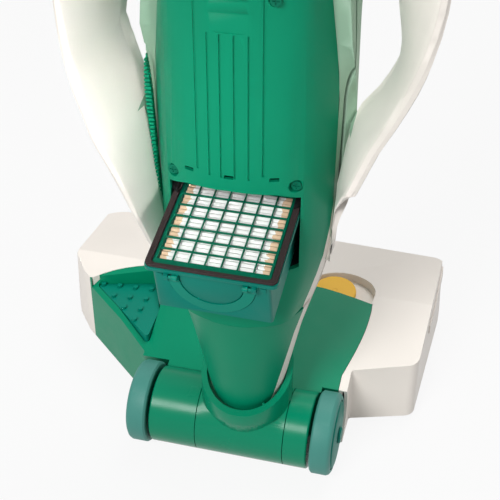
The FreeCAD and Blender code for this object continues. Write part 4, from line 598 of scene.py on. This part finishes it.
def pleated_pack():
    shape = bmesh.new()
    lines = PLEATS * 2
    bmesh.ops.create_grid(shape, x_segments=1, y_segments=lines, size=0.5)
    for vertex in shape.verts:
        line = round((vertex.co.y + 0.5) * lines)
        vertex.co.x *= 2 * PACK_HALF
        vertex.co.y = PACK_NEAR + (PACK_FAR - PACK_NEAR) * line / lines
        vertex.co.z = FOLD_TOP - FOLD_DEPTH * (line % 2)
    drawn = bmesh.ops.extrude_face_region(shape, geom=shape.faces[:])
    moved = [item for item in drawn["geom"] if isinstance(item, bmesh.types.BMVert)]
    for vertex in moved:
        vertex.co.z = FOLD_TOP - PACK_DEPTH
    bmesh.ops.recalc_face_normals(shape, faces=shape.faces)
    bmesh.ops.transform(shape, matrix=DRAWER, verts=shape.verts)
    return shape


pack = new_piece("pleated_fleece", pleated_pack(), fleece, "filter_media", 0, FOLD_SMOOTH)
print("fleece faces", len(pack.data.polygons))

# %% [markdown]
# ## The ribbed strip
# A strip of soft ribs lies in the gap between the left grip and the casing.
# One rib is a small rounded block, so each is a cube made to size at its
# height, and a thin web joins them behind. The table gives, at some heights,
# how far the strip is from the middle plane and how wide it is.

# %% Ribbed strip
RIB_TABLE = [(226, 58.6, 0.8), (250, 60.9, 1.7), (271, 62.2, 2.6), (291, 63.4, 3.7),
             (310, 64.4, 4.6), (324, 65.0, 4.8), (336, 65.5, 3.4), (346, 66.0, 1.2)]
RIB_STEP = 2.9
RIB_Y = -8.0
RIB_DEEP, RIB_TALL = 4.6, 1.7
WEB_BACK = 2.2
WEB_DEEP = 2.0
WEB_SHARE = 0.8


def rib_at(level):
    for (low, x_low, w_low), (high, x_high, w_high) in zip(RIB_TABLE, RIB_TABLE[1:]):
        if low <= level <= high:
            share = (level - low) / (high - low)
            return x_low + (x_high - x_low) * share, w_low + (w_high - w_low) * share
    return RIB_TABLE[-1][1:]


def block(shape, centre, size_mm):
    size = [value * MM for value in size_mm]
    matrix = Matrix.Translation(centre) @ Matrix.Diagonal((*size, 1))
    bmesh.ops.create_cube(shape, size=1, matrix=matrix)


def ribbed_strip():
    shape = bmesh.new()
    level = RIB_TABLE[0][0] + 1
    while level < RIB_TABLE[-1][0]:
        x, width = rib_at(level)
        block(shape, place(-x, RIB_Y, level), (width, RIB_DEEP, RIB_TALL))
        block(shape, place(-x, RIB_Y + WEB_BACK, level + RIB_STEP / 2),
              (width * WEB_SHARE, WEB_DEEP, RIB_STEP))
        level += RIB_STEP
    return shape


strip = new_piece("ribbed_strip", ribbed_strip(), green, "grip_strip_left", 0.35)
print("rib blocks", len(strip.data.polygons) // 6)

# %% [markdown]
# ## Inside the body and the handle
# The motor, fan and bag are hidden until the cover opens. The handle and the
# hooks follow the greens of the body, and the switch is yellow like the dial.

# %% Inside and handle
for node, finish, rounding in (
        ("cover_pin", turned_steel, 0), ("fan_motor", dark_plastic, 0),
        ("fan_impeller", grey_plastic, 0), ("bag_holder", grey_plastic, 0.3),
        ("riser_tube", grey_plastic, 0), ("cord_inlet", seal_rubber, 0.3),
        ("stem_tube", stem_steel, 0), ("handle_right", green, 0.5), ("handle_left", green, 0.5),
        ("power_switch", yellow, 0.4), ("hook_base", green, 0.5), ("hook_upper", teal, 0.6),
        ("hook_lower", green, 0.6)):
    dress(node, finish, rounding)
bag = dress("filter_bag", paper, 1.5, 40, 3)
print("drawn", len(dressed), "not drawn", sorted(set(nodes) - set(dressed)))

# %% [markdown]
# ## Floor and light
# A wide pale floor fills the photograph's view and glows for the camera only.
# Above its far edge, in other views, the world is light grey. The main lamp is
# a soft panel above the camera's left shoulder. A weaker one stands in front
# and lights the top faces, and a faint one stands on the right, so the
# casing's right side falls dark. A narrow beam reaches the inner face of the
# left grip, which no other lamp sees.

# %% Floor, world and lamps
FLOOR_HALF = 6.0
FLOOR_GLOW = 0.90
FLOOR_GREY = 0.6
WORLD_LIGHT = 0.27
BEAM_SPREAD = math.radians(13)
WHITE = (1, 1, 1, 1)


def seen_directly(tree):
    """1 for a ray from the camera, off a gloss or through glass, else 0."""
    path = tree.nodes.new("ShaderNodeLightPath")
    total = path.outputs["Is Camera Ray"]
    for ray in ("Is Glossy Ray", "Is Transmission Ray"):
        total = math_node(tree, "MAXIMUM", total, path.outputs[ray])
    return total


def white_to_camera(tree, shader):
    glow = tree.nodes.new("ShaderNodeEmission")
    glow.inputs["Color"].default_value = WHITE
    mix = tree.nodes.new("ShaderNodeMixShader")
    tree.links.new(math_node(tree, "MULTIPLY", seen_directly(tree), FLOOR_GLOW), mix.inputs["Fac"])
    tree.links.new(shader.outputs[0], mix.inputs[1])
    tree.links.new(glow.outputs["Emission"], mix.inputs[2])
    output = next(node for node in tree.nodes if node.type == "OUTPUT_MATERIAL")
    tree.links.new(mix.outputs["Shader"], output.inputs["Surface"])


floor_shape = bmesh.new()
bmesh.ops.create_grid(floor_shape, x_segments=1, y_segments=1, size=FLOOR_HALF)
floor_mesh = bpy.data.meshes.new("floor")
floor_shape.to_mesh(floor_mesh)
floor_shape.free()
floor = bpy.data.objects.new("floor", floor_mesh)
scene.collection.objects.link(floor)
floor_paint = bpy.data.materials.new("floor paint")
floor_shader = shader_of(floor_paint)
floor_shader.inputs["Base Color"].default_value = (FLOOR_GREY, FLOOR_GREY, FLOOR_GREY, 1)
floor_shader.inputs["Roughness"].default_value = 0.9
white_to_camera(floor_paint.node_tree, floor_shader)
floor_mesh.materials.append(floor_paint)

world = bpy.data.worlds.new("studio")
scene.world = world
world.use_nodes = True
sky = world.node_tree
backdrop = sky.nodes["Background"]
backdrop.inputs["Color"].default_value = WHITE
backdrop.inputs["Strength"].default_value = WORLD_LIGHT
bright = sky.nodes.new("ShaderNodeBackground")
bright.inputs["Strength"].default_value = 1.0
chooser = sky.nodes.new("ShaderNodeMixShader")
sky.links.new(seen_directly(sky), chooser.inputs["Fac"])
sky.links.new(backdrop.outputs[0], chooser.inputs[1])
sky.links.new(bright.outputs[0], chooser.inputs[2])
sky.links.new(chooser.outputs[0], sky.nodes["World Output"].inputs["Surface"])


def panel(name, spot, target, width, watts):
    lamp = bpy.data.lights.new(name, "AREA")
    lamp.shape = "SQUARE"
    lamp.size = width
    lamp.energy = watts
    holder = bpy.data.objects.new(name, lamp)
    holder.location = spot
    holder.rotation_mode = "QUATERNION"
    holder.rotation_quaternion = (target - spot).to_track_quat("-Z", "Y")
    scene.collection.objects.link(holder)
    return holder


AIM = place(0, 0, 250)
panel("key panel", place(-600, -1850, 1720), AIM, width=0.8, watts=42)
panel("fill panel", place(1700, -700, 900), AIM, width=1.4, watts=2)
panel("top panel", place(300, 900, 2100), AIM, width=1.0, watts=20)
grip_lamp = panel("left grip panel", place(420, -760, 560), place(-100, -30, 300),
                  width=0.15, watts=0.06)
grip_lamp.data.spread = BEAM_SPREAD
print("stage ready")

# %% [markdown]
# ## The camera
# The photograph was taken from behind the cleaner, a little to its right and
# well above the head. The camera stands where a fit of the known sizes to the
# picture puts it, and looks along the fitted direction.

# %% Camera
LENS_MM = 78.94
SENSOR_MM = 36
CAMERA_PLACE = place(162.323, -620.730, 657.995)
VIEW_RIGHT = Vector((0.96799822, 0.2509538, 0.00127774))
VIEW_UP = Vector((-0.14684442, 0.562276, 0.81380736))
VIEW_BACK = Vector((0.2035096, -0.7879517, 0.58113334))

camera_data = bpy.data.cameras.new("camera")
camera_data.sensor_width = SENSOR_MM
camera_data.lens = LENS_MM
camera_data.clip_start = 0.01
camera_data.clip_end = 100
camera = bpy.data.objects.new("camera", camera_data)
turn = Matrix((VIEW_RIGHT, VIEW_UP, VIEW_BACK)).transposed().to_4x4()
camera.matrix_world = Matrix.Translation(CAMERA_PLACE) @ turn
scene.collection.objects.link(camera)
scene.camera = camera
print("camera at", [round(value, 3) for value in camera.location])
